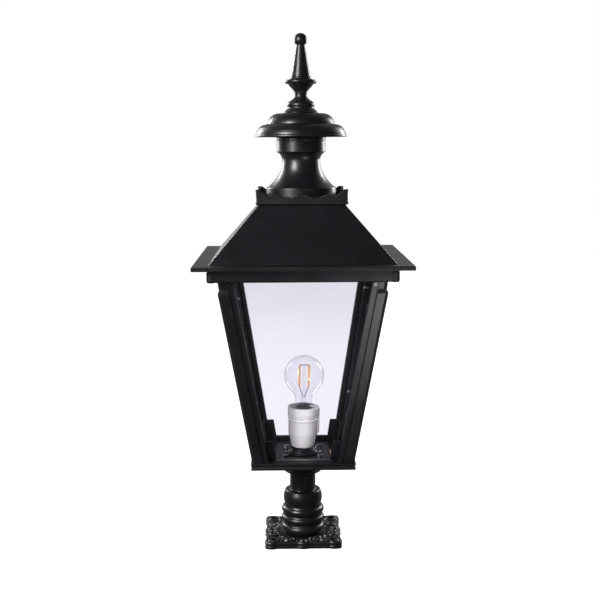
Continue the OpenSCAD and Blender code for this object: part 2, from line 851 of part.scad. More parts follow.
module hinge_roof_screws() {
    color(zinc) for (side = [-1, 1], x = [-1, 1])
        translate([side * hinge_x + x * hinge_screw_x, hinge_roof_screw_y(), z_eave - leaf_t])
            mirror([0, 0, 1]) screw(hinge_screw_r, leaf_t + eave_t - 2, 2.8, 1.6);
}

// ---------- roof ----------

module eave_plate() {
    color(powder_black) difference() {
        union() {
            block(eave_half, eave_half, z_eave, z_roof);
            // tabs that the lock screws press on
            for (side = [-1, 1]) translate([side * (rail_in - run - tab_t / 2), 0, 0])
                block(tab_t / 2, tab_w / 2, z_eave - tab_h, z_eave + 1);
        }
        block(eave_open, eave_open, z_eave - tab_h - cut, z_roof + cut);
        for (side = [-1, 1], x = [-1, 1])
            translate([side * hinge_x + x * hinge_screw_x, hinge_roof_screw_y(), 0])
                disc(hinge_screw_r + fit, z_eave - cut, z_eave + eave_t - 1.6);
        roof_screw_places() disc(roof_screw_r + fit, -cut, eave_t + cut);
    }
}

module roof_screw_places() {
    four_corners() for (s = [-1, 1]) translate([roof_screw_at, s * roof_screw_along, z_eave]) children();
}

module frustum(half0, z0, half1, z1) {
    skin([for (p = [[half0, z0], [half1, z1]])
        [[-p[0], -p[0], p[1]], [p[0], -p[0], p[1]], [p[0], p[0], p[1]], [-p[0], p[0], p[1]]]]);
}

module roof_shell() {
    lip_t = 4;
    inner0 = roof_base - roof_wall_h;
    color(powder_black) difference() {
        frustum(roof_base, z_roof, roof_top, z_crown);
        frustum(inner0 - roof_lean * lip_t, z_roof + lip_t,
                roof_top - roof_wall_h + roof_lean * roof_wall, z_crown - roof_wall);
        block(eave_open, eave_open, z_roof - cut, z_roof + lip_t + cut);
        disc(vent_r, z_crown - roof_wall - cut, z_crown + cut);
        roof_screw_places() disc(roof_screw_r + fit, eave_t - cut, eave_t + lip_t + cut);
    }
}

module roof_screws() {
    color(zinc) roof_screw_places() mirror([0, 0, 1]) screw(roof_screw_r, eave_t + 3.5, 3.2, 1.8);
}

// Height of the crown's edge at x, measured from its foot
function scallop(x) =
    let (c = crown_w / 2, a = abs(x))
    a > c - 4 ? crown_h + 10 - (a - c + 4) * 0.6
    : a > c - 17 ? crown_h + 0.5 + (a - c + 17) * 9.5 / 13
    : crown_h + 0.5 + 2.8 * cos(360 * x / ((c - 17) / 1.25));

module crown_collar() {
    c = crown_w / 2;
    steps = 52;
    color(powder_black) difference() {
        union() {
            block(c - 1, c - 1, z_crown, z_chimney);
            four_corners() translate([0, c, z_crown]) rotate([90, 0, 0]) linear_extrude(crown_wall)
                polygon(concat([[-c, 1.6], [-c + 1.6, 0], [c - 1.6, 0], [c, 1.6]],
                    [for (i = [steps:-1:0]) let (x = -c + 2 * c * i / steps) [x, scallop(x)]]));
        }
        disc(vent_r, z_crown - cut, z_chimney + cut);
    }
}

module chimney_neck() {
    z1 = z_chimney + chimney_ring_h;
    z2 = z1 + chimney_flare_h;
    z3 = z2 + chimney_lip_h;
    base = chimney_base_r;
    waist = chimney_waist_r;
    collar = chimney_collar_r;
    color(powder_black) difference() {
        turned(concat(
            [[0, z_chimney], [base - 1, z_chimney], [base, z_chimney + 2],
             [base, z1 - 1.5], [base - 1, z1]],
            [for (i = [0:12]) let (t = i / 12)
                [waist + (base - 2 - waist) * pow(1 - t, 2.1), z1 + (z2 - z1) * t]],
            [for (i = [1:6]) let (t = i / 6) [waist + 4.6 * t * t, z2 + (z3 - z2 - 1) * t]],
            [[collar - 0.8, z3], [collar, z3 + 1], [collar, z_cowl - 5], [collar + 0.4, z_cowl - 4.5],
             [collar + 0.4, z_cowl], [0, z_cowl]]));
        disc(chimney_bore, z_chimney - cut, z_cowl - chimney_lid_t);
        disc(rod_r + fit, z_cowl - chimney_lid_t - cut, z_cowl + cut);
        for (a = [30:60:330]) rotate(a) translate([vent_hole_at, 0, 0])
            disc(vent_hole_r, z_cowl - chimney_lid_t - cut, z_cowl + cut);
    }
}

module cowl() {
    z = z_cowl;
    r = cowl_r;
    tier = r - 17.4;
    color(powder_black) difference() {
        turned(concat(
            [[0, z], [r - 1.5, z], [r, z + 0.4], [r - 2, z + 7]],
            arc(r - 12, z + 6.5, 10, 20, 75, 8),
            [[tier + 1, z + 16.6], [tier, z + 17.6], [tier, z + 22]],
            arc(tier - 17, z + 20, 17, 12, 50, 8),
            [[r - 36.9, z + 33], [0, z + 33.5]]));
        // hollow under the brim, round the boss that stands on the chimney
        difference() {
            turned([[0, z - cut], [r - 4, z - cut], [r - 5, z + 6], [r - 14, z + 13], [0, z + 13]]);
            disc(9, z - 2 * cut, z + 20);
        }
        disc(rod_r + fit, z - cut, z + cowl_h + cut);
    }
}

module finial() {
    z = z_finial;
    spire_z = z + 50;
    spire_top = z + 95;
    color(powder_black) difference() {
        turned(concat(
            [[0, z], [26, z], [24.2, z + 2], [21.5, z + 5], [19.2, z + 7.2]],
            arc(15.8, z + 12, 4.4, -40, 55, 8),
            arc(17.3, z + 26, 8, 250, 180, 8),
            [[9.6, z + 30.5], [11.4, z + 33.4], [15.3, z + 37], [19, z + 40.4], [22.4, z + 43.2]],
            arc(21.4, z + 45.2, 1.6, -40, 90, 6),
            [[15.6, z + 48.6], [15.4, spire_z], [14.5, spire_z + 1], [14.3, spire_z + 2.2],
             [6.6, spire_top]],
            arc(0, z + 103.4, ball_r, -44, 90, 14)));
        disc(rod_r + fit, z - cut, z + rod_in_finial);
    }
}

module tie_rod() {
    color(zinc) disc(rod_r, z_bridge - 13, z_finial + rod_in_finial - 1);
}

module rod_nut() {
    color(zinc) translate([0, 0, z_bridge - washer_t - 2 * seat - 6.5]) hex_nut(rod_r, 13, 6.5);
}

module rod_washer() {
    color(zinc) difference() {
        disc(9, z_bridge - washer_t - seat, z_bridge - seat);
        disc(rod_r + fit, z_bridge - 5, z_bridge + cut);
    }
}

module rod_bridge() {
    color(zinc) difference() {
        block(vent_r + 12, 8, z_bridge, z_bridge + bridge_t);
        disc(rod_r + fit, z_bridge - cut, z_bridge + bridge_t + cut);
    }
}

// ---------- roof lock screws ----------

module lock_screw(side) {
    grip = side * (rail_half + run);
    tip = side * (rail_in - run + 0.05);
    color(zinc) translate([0, 0, z_lock]) {
        translate([tip, 0, 0]) rotate([0, side * 90, 0]) cylinder(h = abs(grip - tip) + 1, r = lock_r);
        translate([grip, 0, 0]) rotate([0, side * 90, 0]) difference() {
            cylinder(h = knob_l, r = knob_r);
            for (a = [0:20:340]) rotate(a) translate([knob_r + 0.3, 0, 1]) cylinder(h = knob_l, r = 0.8);
        }
    }
}
module lock_screw_left() { lock_screw(-1); }
module lock_screw_right() { lock_screw(1); }

foot_plate();
pedestal();
foot_screws();
tie_tube();
tie_nuts();
tie_washers();
cable_bush();
terminal_block();
lead_live();
lead_neutral();
neck_boss();
floor_frame();
boss_screws();
earth_screw();
holder_dome();
holder_body();
holder_shell();
holder_contacts();
post_front_left();
post_front_right();
post_back_left();
post_back_right();
socket_screws();
glass_front();
glass_back();
glass_left();
glass_right();
glazing_seals();
glazing_beads();
glazing_screws();
top_frame();
post_screws();
roof_gasket();
hinge_frame_leaves();
hinge_frame_screws();
hinge_pins();
eave_plate();
roof_shell();
roof_screws();
hinge_roof_leaves();
hinge_roof_screws();
crown_collar();
chimney_neck();
cowl();
finial();
tie_rod();
rod_nut();
rod_washer();
rod_bridge();
bulb_glass();
bulb_cap();
bulb_insulator();
bulb_tip();
bulb_stem();
bulb_filaments();
lock_screw_left();
lock_screw_right();
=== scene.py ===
# %% [markdown]
# # A pier lantern, piece by piece
# The lantern stands on a short turned pedestal. Its sizes, holes and hinges are already
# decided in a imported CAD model, so this notebook only loads that model and gives it its
# looks: cast parts with soft edges, real glass, porcelain and a bulb.

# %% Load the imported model
import json
import math

import bmesh
import bpy
import numpy as np
from mathutils import Matrix, Vector

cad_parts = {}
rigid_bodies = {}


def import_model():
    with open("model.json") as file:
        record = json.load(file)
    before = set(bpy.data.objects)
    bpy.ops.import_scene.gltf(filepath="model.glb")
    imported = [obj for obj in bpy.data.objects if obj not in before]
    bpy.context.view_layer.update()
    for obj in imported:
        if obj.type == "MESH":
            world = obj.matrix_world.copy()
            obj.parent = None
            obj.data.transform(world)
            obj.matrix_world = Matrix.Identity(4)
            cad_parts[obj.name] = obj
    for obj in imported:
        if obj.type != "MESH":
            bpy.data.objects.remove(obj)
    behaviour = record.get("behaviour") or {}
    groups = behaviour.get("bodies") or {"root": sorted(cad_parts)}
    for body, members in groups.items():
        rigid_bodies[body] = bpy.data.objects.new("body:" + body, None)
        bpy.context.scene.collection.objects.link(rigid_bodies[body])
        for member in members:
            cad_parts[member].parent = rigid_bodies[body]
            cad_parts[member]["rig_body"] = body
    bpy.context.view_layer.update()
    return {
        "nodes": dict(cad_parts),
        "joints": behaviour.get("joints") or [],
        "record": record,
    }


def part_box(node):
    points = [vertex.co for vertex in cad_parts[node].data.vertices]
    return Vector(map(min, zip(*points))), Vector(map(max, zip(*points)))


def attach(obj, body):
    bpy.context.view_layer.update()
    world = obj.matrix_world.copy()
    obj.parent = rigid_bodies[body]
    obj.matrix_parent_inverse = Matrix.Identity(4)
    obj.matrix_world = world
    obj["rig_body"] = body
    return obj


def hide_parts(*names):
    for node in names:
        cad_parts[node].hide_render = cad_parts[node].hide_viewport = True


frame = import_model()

SLOT_OF = {row["node"]: row["material_slot"] for row in frame["record"]["subparts"]}
JOINTS = {joint["name"]: joint for joint in frame["joints"]}

# %% [markdown]
# ## The camera
# A long lens from a little above the eave, turned down by eight and a half degrees. It
# leans by a third of a degree, as a camera held by hand does, so the spire tips to the left.

# %% Camera
LENS_MM = 61.7
CAMERA_AT = Vector((-0.0243, -1.5050, 0.5907))
LOOKS = Vector((0.01420, 0.98876, -0.14884))
ROLL = math.radians(-0.3)

camera = bpy.data.objects.new("camera", bpy.data.cameras.new("camera"))
bpy.context.scene.collection.objects.link(camera)
bpy.context.scene.camera = camera
right = LOOKS.cross(Vector((0, 0, 1))).normalized()
up = right.cross(LOOKS)
turned_right = right * math.cos(ROLL) + up * math.sin(ROLL)
turned_up = up * math.cos(ROLL) - right * math.sin(ROLL)
camera.matrix_world = Matrix((turned_right, turned_up, -LOOKS)).transposed().to_4x4()
camera.location = CAMERA_AT
camera.data.sensor_width = 36
camera.data.lens = LENS_MM
print("camera at", tuple(camera.location), "lens", LENS_MM, "mm")

# %% [markdown]
# ## Two small tools for materials
# Colours are written as they look on a screen, as sRGB hex, and turned to the linear
# numbers that a renderer adds up. One function adds any shader node.


# %% Colour and node tools
def linear(code):
    """Linear RGBA of an sRGB hex colour: c / 12.92 up to 0.04045, else ((c + 0.055) / 1.055) ^ 2.4."""
    c = np.array([int(code[i:i + 2], 16) for i in (1, 3, 5)]) / 255
    rgb = np.where(c <= 0.04045, c / 12.92, ((c + 0.055) / 1.055) ** 2.4)
    return (*rgb.tolist(), 1.0)


def node(tree, kind, sockets=(), **settings):
    """One shader node. sockets maps inputs, by name or number, to a value or to the output that feeds
    them."""
    made = tree.nodes.new("ShaderNode" + kind)
    for name, value in settings.items():
        setattr(made, name, value)
    for name, value in dict(sockets).items():
        if isinstance(value, bpy.types.NodeSocket):
            tree.links.new(value, made.inputs[name])
        else:
            made.inputs[name].default_value = value
    return made


def new_material(name):
    """An empty node material and its tree."""
    material = bpy.data.materials.new(name)
    material.use_nodes = True
    material.node_tree.nodes.clear()
    return material, material.node_tree


def per_mm(period):
    """A noise scale whose features repeat about every so many millimetres."""
    return 1000 / period


print("mid grey is", round(linear("#808080")[0], 3), "of white in linear light")

# %% [markdown]
# ## The studio
# A white sweep stands behind the lamp. One soft box at the front left draws the highlights
# on the turned parts, and a narrow low one on the right runs along the right-hand post. A
# third, almost frontal, is kept out of all mirrors: it only makes the porcelain white. Two
# more at the back draw the edges there, and serve whoever walks round the lamp. Black
# gloss shows nothing but what it mirrors, so the room it mirrors is dim, with a paler side
# where the sweep stands. What the camera sees directly, or through the glass, is white.

# %% Room
bpy.context.scene.view_settings.view_transform = "Standard"
world = bpy.data.worlds.new("studio")
bpy.context.scene.world = world
world.use_nodes = True
tree = world.node_tree
tree.nodes.clear()
path = node(tree, "LightPath")
seen = node(tree, "Math", {0: path.outputs["Is Camera Ray"], 1: path.outputs["Is Transmission Ray"]},
            operation="MAXIMUM")
way = node(tree, "SeparateXYZ", {0: node(tree, "TexCoord").outputs["Generated"]})
to_sweep = node(tree, "MapRange", {"Value": way.outputs["Y"], "From Min": -0.2, "From Max": 0.9,
                                   "To Min": 0.05, "To Max": 0.36}, interpolation_type="SMOOTHSTEP")
room = node(tree, "Background", {"Color": linear("#f4f4fb"), "Strength": to_sweep.outputs[0]})
white = node(tree, "Background", {"Color": (1, 1, 1, 1), "Strength": 1.0})
both = node(tree, "MixShader", {0: seen.outputs[0], 1: room.outputs[0], 2: white.outputs[0]})
node(tree, "OutputWorld", {"Surface": both.outputs[0]})
print("world with", len(tree.nodes), "nodes")

# %% [markdown]
# ## Soft boxes
# A soft box is a lamp behind a large white cloth. An area lamp does the same. Its size sets how
# wide the highlight on a turned ring is, and its spread stands for the honeycomb grid that keeps
# a beam narrow.


# %% Soft boxes
def soft_box(name, at, aim, width, height, watts, spread=180, mirrored=True):
    """A rectangular lamp at one point that faces another, with a beam spread in degrees."""
    lamp = bpy.data.lights.new(name, "AREA")
    lamp.shape = "RECTANGLE"
    lamp.size, lamp.size_y = width, height
    lamp.energy = watts
    lamp.spread = math.radians(spread)
    box = bpy.data.objects.new(name, lamp)
    bpy.context.scene.collection.objects.link(box)
    box.location = at
    box.visible_glossy = mirrored
    box.rotation_euler = (Vector(aim) - Vector(at)).to_track_quat("-Z", "Y").to_euler()
    return box


soft_box("key_front_left", (-1.25, -1.35, 1.15), (0, 0, 0.42), 0.5, 1.0, 56)
soft_box("fill_right", (0.36, -0.74, 0.07), (0.11, -0.1, 0.33), 0.16, 0.12, 0.17, spread=36)
soft_box("porcelain_front", (-0.6, -1.9, 0.45), (0, 0, 0.25), 0.8, 0.8, 30, mirrored=False)
soft_box("rim_back_left", (-1.3, 1.5, 1.0), (0, 0, 0.4), 0.5, 1.0, 30)
soft_box("rim_back_right", (1.3, 1.3, 0.9), (0, 0, 0.4), 0.5, 1.0, 22)
print("five soft boxes")


# %% [markdown]
# ## The floor
# The lamp stands on a pale board that is lit until it burns out to white. More lamps could do
# that, but they would turn the black metal grey as well. So the board gives off most of its
# white by itself, and it is kept out of mirrors and out of the light on the lamp.


# %% Floor
def floor_material():
    """Matt board that gives off most of its own light, so that it stays white up to its edge."""
    material, tree = new_material("white_board")
    grain = node(tree, "TexNoise", {"Vector": node(tree, "TexCoord").outputs["Object"],
                                    "Scale": per_mm(60), "Detail": 3})
    tone = node(tree, "ValToRGB", {0: grain.outputs[0]})
    tone.color_ramp.elements[0].color = linear("#7c7c7c")
    tone.color_ramp.elements[1].color = linear("#848484")
    board = node(tree, "BsdfDiffuse", {"Color": tone.outputs[0]})
    glow = node(tree, "Emission", {"Color": (1, 1, 1, 1), "Strength": 1.05})
    mixed = node(tree, "AddShader", {0: board.outputs[0], 1: glow.outputs[0]})
    node(tree, "OutputMaterial", {"Surface": mixed.outputs[0]})
    return material


FLOOR_RADIUS = 4.0
turn = np.linspace(0, 2 * np.pi, 96, endpoint=False)
rim = np.stack([FLOOR_RADIUS * np.cos(turn), FLOOR_RADIUS * np.sin(turn), np.zeros(96)], 1)
floor_mesh = bpy.data.meshes.new("floor")
floor_mesh.from_pydata(rim.tolist(), [], [list(range(96))])
floor_mesh.materials.append(floor_material())
floor = bpy.data.objects.new("floor", floor_mesh)
bpy.context.scene.collection.objects.link(floor)
floor.visible_diffuse = False
floor.visible_glossy = False
print("floor of", FLOOR_RADIUS, "m radius")

# %% [markdown]
# ## Finishes
# Each finish is one function. The cast parts are aluminium under a satin black powder coat:
# the powder melts into a skin with a faint orange peel, and it lies a little unevenly over
# the sand casting under it. The real peel repeats every half millimetre. It is drawn at two,
# which is the finest that shows from here.


# %% Satin black powder coat
def powder_coat():
    """Dark grey film with dielectric gloss. Noise at three scales: casting, film flow, peel."""
    material, tree = new_material("powder_coat_satin_black")
    place = node(tree, "TexCoord").outputs["Object"]
    casting = node(tree, "TexNoise", {"Vector": place, "Scale": per_mm(22), "Detail": 4, "Roughness": 0.55})
    peel = node(tree, "TexNoise", {"Vector": place, "Scale": per_mm(2.0), "Detail": 2})
    handling = node(tree, "TexNoise", {"Vector": place, "Scale": per_mm(75), "Detail": 5, "Roughness": 0.6})
    tone = node(tree, "ValToRGB", {0: handling.outputs[0]})
    tone.color_ramp.elements[0].position, tone.color_ramp.elements[1].position = 0.3, 0.72
    tone.color_ramp.elements[0].color = linear("#0b0b0e")
    tone.color_ramp.elements[1].color = linear("#111115")
    sheen = node(tree, "MapRange", {"Value": handling.outputs[0], "From Min": 0.3, "From Max": 0.7,
                                    "To Min": 0.30, "To Max": 0.41})
    cast = node(tree, "Bump", {"Height": casting.outputs[0], "Strength": 0.22, "Distance": 0.0008})
    skin_of = node(tree, "Bump", {"Height": peel.outputs[0], "Strength": 0.08, "Distance": 0.0003,
                                  "Normal": cast.outputs[0]})
    coat = node(tree, "BsdfPrincipled", {"Base Color": tone.outputs[0], "Roughness": sheen.outputs[0],
                                         "IOR": 1.5, "Normal": skin_of.outputs[0]})
    node(tree, "OutputMaterial", {"Surface": coat.outputs[0]})
    return material


# %% [markdown]
# ## Plated and plain metals
# Metals keep the shader's default IOR and take their look from colour and roughness. Zinc
# plating is a bright blue-grey with a cloudy bloom, the lamp's cap is drawn nickel-plated
# brass with rings left by the rolling, and the sleeve in the holder is plain pressed brass.


# %% Metals
def rolled_metal(name, low, high, rough, period):
    """A metal whose colour and roughness drift with noise of that period in millimetres."""
    material, tree = new_material(name)
    place = node(tree, "TexCoord").outputs["Object"]
    bloom = node(tree, "TexNoise", {"Vector": place, "Scale": per_mm(period), "Detail": 5, "Roughness": 0.65})
    tone = node(tree, "ValToRGB", {0: bloom.outputs[0]})
    tone.color_ramp.elements[0].position, tone.color_ramp.elements[1].position = 0.35, 0.7
    tone.color_ramp.elements[0].color, tone.color_ramp.elements[1].color = linear(low), linear(high)
    haze = node(tree, "MapRange", {"Value": bloom.outputs[0], "To Min": rough * 0.75, "To Max": rough * 1.3})
    grain = node(tree, "TexNoise", {"Vector": place, "Scale": per_mm(1.2), "Detail": 2})
    rub = node(tree, "Bump", {"Height": grain.outputs[0], "Strength": 0.12, "Distance": 0.0002})
    metal = node(tree, "BsdfPrincipled", {"Base Color": tone.outputs[0], "Metallic": 1.0,
                                          "Roughness": haze.outputs[0], "Normal": rub.outputs[0]})
    node(tree, "OutputMaterial", {"Surface": metal.outputs[0]})
    return material


# %% [markdown]
# ## Glass
# A window pane is flat, so nothing seen through it moves: light goes straight on with a faint
# lavender tint, and a Fresnel share is mirrored. The bulb's wall is so thin that it hardly
# bends light either, and only its outline and a few highlights give it away.


# %% Panes and bulb glass
def mirror_share(tree, normal):
    """Fresnel share of a thin sheet. Light isn't bent inside it, so a face must mirror the same share on
    the way out as on the way in. Faces met from inside get the inverse index, which undoes the total
    reflection."""
    inside = node(tree, "NewGeometry").outputs["Backfacing"]
    index = node(tree, "MapRange", {"Value": inside, "To Min": 1.45, "To Max": 1 / 1.45})
    return node(tree, "Fresnel", {"IOR": index.outputs[0], "Normal": normal}).outputs[0]


def pane_glass():
    """Straight-through light times a tint, with a mirror that grows towards the edge of view."""
    material, tree = new_material("float_glass_clear")
    place = node(tree, "TexCoord").outputs["Object"]
    draw = node(tree, "TexNoise", {"Vector": place, "Scale": per_mm(90), "Detail": 1})
    wave = node(tree, "Bump", {"Height": draw.outputs[0], "Strength": 0.05, "Distance": 0.001})
    film = node(tree, "ValToRGB", {0: draw.outputs[0]})
    film.color_ramp.elements[0].color = linear("#f7f6f9")
    film.color_ramp.elements[1].color = linear("#f9f8fb")
    through = node(tree, "BsdfTransparent", {"Color": film.outputs[0]})
    mirror = node(tree, "BsdfGlossy", {"Color": (1, 1, 1, 1), "Roughness": 0.03, "Normal": wave.outputs[0]})
    share = mirror_share(tree, wave.outputs[0])
    both = node(tree, "MixShader", {0: share, 1: through.outputs[0], 2: mirror.outputs[0]})
    node(tree, "OutputMaterial", {"Surface": both.outputs[0]})
    return material


def blown_glass():
    """Thin glass: light goes straight on, and at most a fifth of it is mirrored near the edge of view."""
    material, tree = new_material("blown_soda_glass")
    place = node(tree, "TexCoord").outputs["Object"]
    cords = node(tree, "TexNoise", {"Vector": place, "Scale": per_mm(14), "Detail": 2})
    wave = node(tree, "Bump", {"Height": cords.outputs[0], "Strength": 0.06, "Distance": 0.0006})
    through = node(tree, "BsdfTransparent", {"Color": linear("#fbfcfe")})
    mirror = node(tree, "BsdfGlossy", {"Color": (1, 1, 1, 1), "Roughness": 0.02, "Normal": wave.outputs[0]})
    limited = node(tree, "Math", {0: mirror_share(tree, wave.outputs[0]), 1: 0.22}, operation="MINIMUM")
    both = node(tree, "MixShader", {0: limited.outputs[0], 1: through.outputs[0], 2: mirror.outputs[0]})
    node(tree, "OutputMaterial", {"Surface": both.outputs[0]})
    return material


# %% [markdown]
# ## Porcelain, rubber, plastic and phosphor
# Glazed porcelain is white clay under a clear glass coat, so it has a hard small highlight on
# a soft milky body. The lamp's light strips are coated with yellow silicone, and their glow
# is painted light: they give off a little of their own colour, though no lamp is lit in the bulb.


# %% Soft and ceramic finishes
def dielectric(name, low, high, rough, period, dent, coat=0.0, milk=0.0, glow=0.0):
    """A non-metal: colour drifts from low to high with noise of that period, dent is its bump in metres, and
    glow is painted light, an emission of the surface's own colour as if it were a lamp.
    """
    material, tree = new_material(name)
    place = node(tree, "TexCoord").outputs["Object"]
    drift = node(tree, "TexNoise", {"Vector": place, "Scale": per_mm(period), "Detail": 4})
    tone = node(tree, "ValToRGB", {0: drift.outputs[0]})
    tone.color_ramp.elements[0].position, tone.color_ramp.elements[1].position = 0.32, 0.7
    tone.color_ramp.elements[0].color, tone.color_ramp.elements[1].color = linear(low), linear(high)
    haze = node(tree, "MapRange", {"Value": drift.outputs[0], "To Min": rough * 0.8, "To Max": rough * 1.2})
    skin_of = node(tree, "Bump", {"Height": drift.outputs[0], "Strength": 0.3, "Distance": dent})
    body = node(tree, "BsdfPrincipled", {
        "Base Color": tone.outputs[0], "Roughness": haze.outputs[0], "IOR": 1.5, "Coat Weight": coat,
        "Coat Roughness": 0.04, "Subsurface Weight": milk, "Subsurface Scale": 0.002,
        "Emission Color": tone.outputs[0], "Emission Strength": glow, "Normal": skin_of.outputs[0]})
    node(tree, "OutputMaterial", {"Surface": body.outputs[0]})
    return material


FINISH = {
    "powder_black": powder_coat(),
    "zinc_steel": rolled_metal("zinc_plated_steel", "#8d9096", "#b4b6ba", 0.34, 6),
    "brass": rolled_metal("pressed_brass", "#a5834a", "#c9a565", 0.28, 9),
    "nickel_cap": rolled_metal("nickel_plated_cap", "#a9a7a2", "#cfcdc8", 0.22, 5),
    "solder_tip": rolled_metal("tin_solder", "#8f8f8e", "#b9b9b6", 0.4, 3),
    "pane_glass": pane_glass(),
    "bulb_clear_glass": blown_glass(),
    "porcelain": dielectric("glazed_porcelain", "#ebeae6", "#f5f4f1", 0.32, 24, 0.0004, 0.9, 0.15),
    "block_plastic": dielectric("steatite_block", "#d8d4c8", "#e6e2d8", 0.5, 3, 0.0003),
    "black_rubber": dielectric("black_epdm_rubber", "#101011", "#19191a", 0.62, 2, 0.0002),
    "lead_brown": dielectric("brown_pvc", "#5c3420", "#6b4028", 0.4, 4, 0.0001),
    "lead_blue": dielectric("blue_pvc", "#2b4f8a", "#365da0", 0.4, 4, 0.0001),
    "cap_insulator": dielectric("black_vitrite", "#0c0c0d", "#141415", 0.18, 3, 0.0001, 0.5),
    # painted glow: the light strips give off 0.35 of their own colour, though no lamp is lit in the bulb
    "led_phosphor": dielectric("phosphor_silicone_painted_glow", "#e89a3c", "#f7c773", 0.45, 1.5, 0.0002, 0.3, 0.2, 0.35),
}
for name, part in frame["nodes"].items():
    part.data.materials.clear()
    part.data.materials.append(FINISH[SLOT_OF[name]])
print(len(FINISH), "finishes on", len(frame["nodes"]), "nodes")

# %% [markdown]
# ## Shapes from rings
# Every cast piece here is a stack of closed rings with quads between them. A turned piece has
# round rings, a roof has square ones and a corner post repeats its own section. The points
# are worked out as whole arrays, in millimetres, and only then put into a mesh.


# %% Ring tools
def arc(centre, middle, radius, start, stop, steps=12):
    """Points of an arc in a profile: centre + radius (cos a, sin a), angles in degrees."""
    a = np.radians(np.linspace(start, stop, steps))
    return np.stack([centre + radius * np.cos(a), middle + radius * np.sin(a)], 1)


def soften(outline, radius, steps=5):
    """Rounds the corners of a closed outline. A corner P becomes (1-t)^2 A + 2t(1-t) P + t^2 B, where A and
    B lie on its two sides, radius away or at most 0.45 of the side."""
    p = np.asarray(outline, float)
    before, after = np.roll(p, 1, 0) - p, np.roll(p, -1, 0) - p
    long_before = np.linalg.norm(before, axis=1, keepdims=True) + 1e-9
    long_after = np.linalg.norm(after, axis=1, keepdims=True) + 1e-9
    back = np.minimum(np.broadcast_to(np.reshape(radius, (-1, 1)), (len(p), 1)),
                      0.45 * np.minimum(long_before, long_after))
    a, b = p + before / long_before * back, p + after / long_after * back
    t = np.linspace(0, 1, steps)[None, :, None]
    curve = (1 - t) ** 2 * a[:, None] + 2 * t * (1 - t) * p[:, None] + t ** 2 * b[:, None]
    return curve.reshape(-1, 2)


def skin(name, rings, loop=True):
    """A mesh of quads over rings, an array (level, place round the ring, xyz) in millimetres. With loop the
    last ring joins the first, and otherwise flat faces close the two ends. Faces are turned outwards."""
    levels, around = rings.shape[:2]
    index = np.arange(levels * around).reshape(levels, around)
    low = index if loop else index[:-1]
    high = np.roll(index, -1, 0) if loop else index[1:]
    quads = np.stack([low, np.roll(low, -1, 1), np.roll(high, -1, 1), high], -1).reshape(-1, 4)
    ends = [] if loop else [index[0, ::-1].tolist(), index[-1].tolist()]
    mesh = bpy.data.meshes.new(name)
    mesh.from_pydata((rings.reshape(-1, 3) / 1000).tolist(), [], quads.tolist() + ends)
    bm = bmesh.new()
    bm.from_mesh(mesh)
    bmesh.ops.remove_doubles(bm, verts=bm.verts, dist=2e-6)
    bmesh.ops.dissolve_degenerate(bm, edges=bm.edges, dist=1e-7)
    if bm.calc_volume(signed=True) < 0:
        bmesh.ops.reverse_faces(bm, faces=bm.faces)
    bm.to_mesh(mesh)
    bm.free()
    mesh.shade_smooth()
    piece = bpy.data.objects.new(name, mesh)
    bpy.context.scene.collection.objects.link(piece)
    return piece


def turned(profile, sides=128):
    """Rings of a lathe-turned shape: each profile point (r, z) becomes (r cos a, r sin a, z)."""
    a = np.linspace(0, 2 * np.pi, sides, endpoint=False)
    p = np.asarray(profile, float)
    r, z = p[:, :1], p[:, 1:]
    return np.stack([r * np.cos(a), r * np.sin(a), z + 0 * a], -1)


print("a turned piece has", turned([[1, 0]]).shape[1], "sides")

# %% [markdown]
# ## Square rings
# A square ring is a square of corner signs, plus a small circle for its rounded corners.
# Sliding one number carries it from square to round, for a floor that has a round pad in it.


# %% Square rings
def square_places(side_steps, corner_steps=6):
    """(signs, outward) of a rounded square: the point is signs (half - r) + outward r."""
    corner = np.arange(4)[:, None]
    swing = np.linspace(0, 90, corner_steps)[None]
    a = np.radians(corner * 90 + swing)
    outward = np.stack([np.cos(a), np.sin(a)], -1)
    at = np.radians(corner * 90 + 45)
    signs = np.stack([np.sign(np.cos(at)), np.sign(np.sin(at))], -1) + 0 * outward
    t = np.linspace(0, 1, side_steps + 1, endpoint=False)[None, 1:, None]
    ahead = np.roll(signs[:, :1], -1, 0)
    side = signs[:, -1:] * (1 - t) + ahead * t
    signs = np.concatenate([signs, side], 1).reshape(-1, 2)
    outward = np.concatenate([outward, outward[:, -1:] + 0 * side], 1).reshape(-1, 2)
    return signs, outward


def squared(profile, corner=1.5, side_steps=0, roundness=0.0):
    """Rings of a square shape: each profile point (half width, z) becomes a rounded square at that height.
    roundness, for each point from 0 to 1, slides the ring towards a circle of the same half width."""
    signs, outward = square_places(side_steps)
    p = np.asarray(profile, float)
    half, z = p[:, 0, None, None], p[:, 1, None]
    c = np.minimum(np.reshape(corner, (-1, 1, 1)), half)
    xy = signs * (half - c) + outward * c
    a = np.arctan2(xy[..., 1], xy[..., 0])
    ring = half * np.stack([np.cos(a), np.sin(a)], -1)
    w = np.reshape(roundness, (-1, 1, 1))
    xy = xy * (1 - w) + ring * w
    return np.concatenate([xy, (z + 0 * xy[..., 0])[..., None]], -1)


def quarter(rings, turns):
    """The same rings, turned about the vertical axis by quarter turns."""
    c, s = round(math.cos(turns * math.pi / 2)), round(math.sin(turns * math.pi / 2))
    return rings @ np.array([[c, s, 0], [-s, c, 0], [0, 0, 1.0]])


# %% [markdown]
# ## Arrises and holes
# Sharp arrises on castings are never quite sharp. A Bevel modifier rounds them, and weighted
# normals keep the large faces flat beside the round ones. Holes are cut with a boolean, which
# is worked out at once so that no helper object is left in the scene.


# %% Finishing tools
def arris(piece, width, steps=3):
    """Rounds the sharp edges of a piece over that width in millimetres, and evens its normals."""
    bevel = piece.modifiers.new("arris", "BEVEL")
    bevel.width = width / 1000
    bevel.segments = steps
    bevel.limit_method = "ANGLE"
    bevel.angle_limit = math.radians(28)
    return even(piece)


def even(piece):
    """Weighted normals: large faces shade flat and small ones carry the curve."""
    normals = piece.modifiers.new("even", "WEIGHTED_NORMAL")
    normals.keep_sharp = True
    return piece


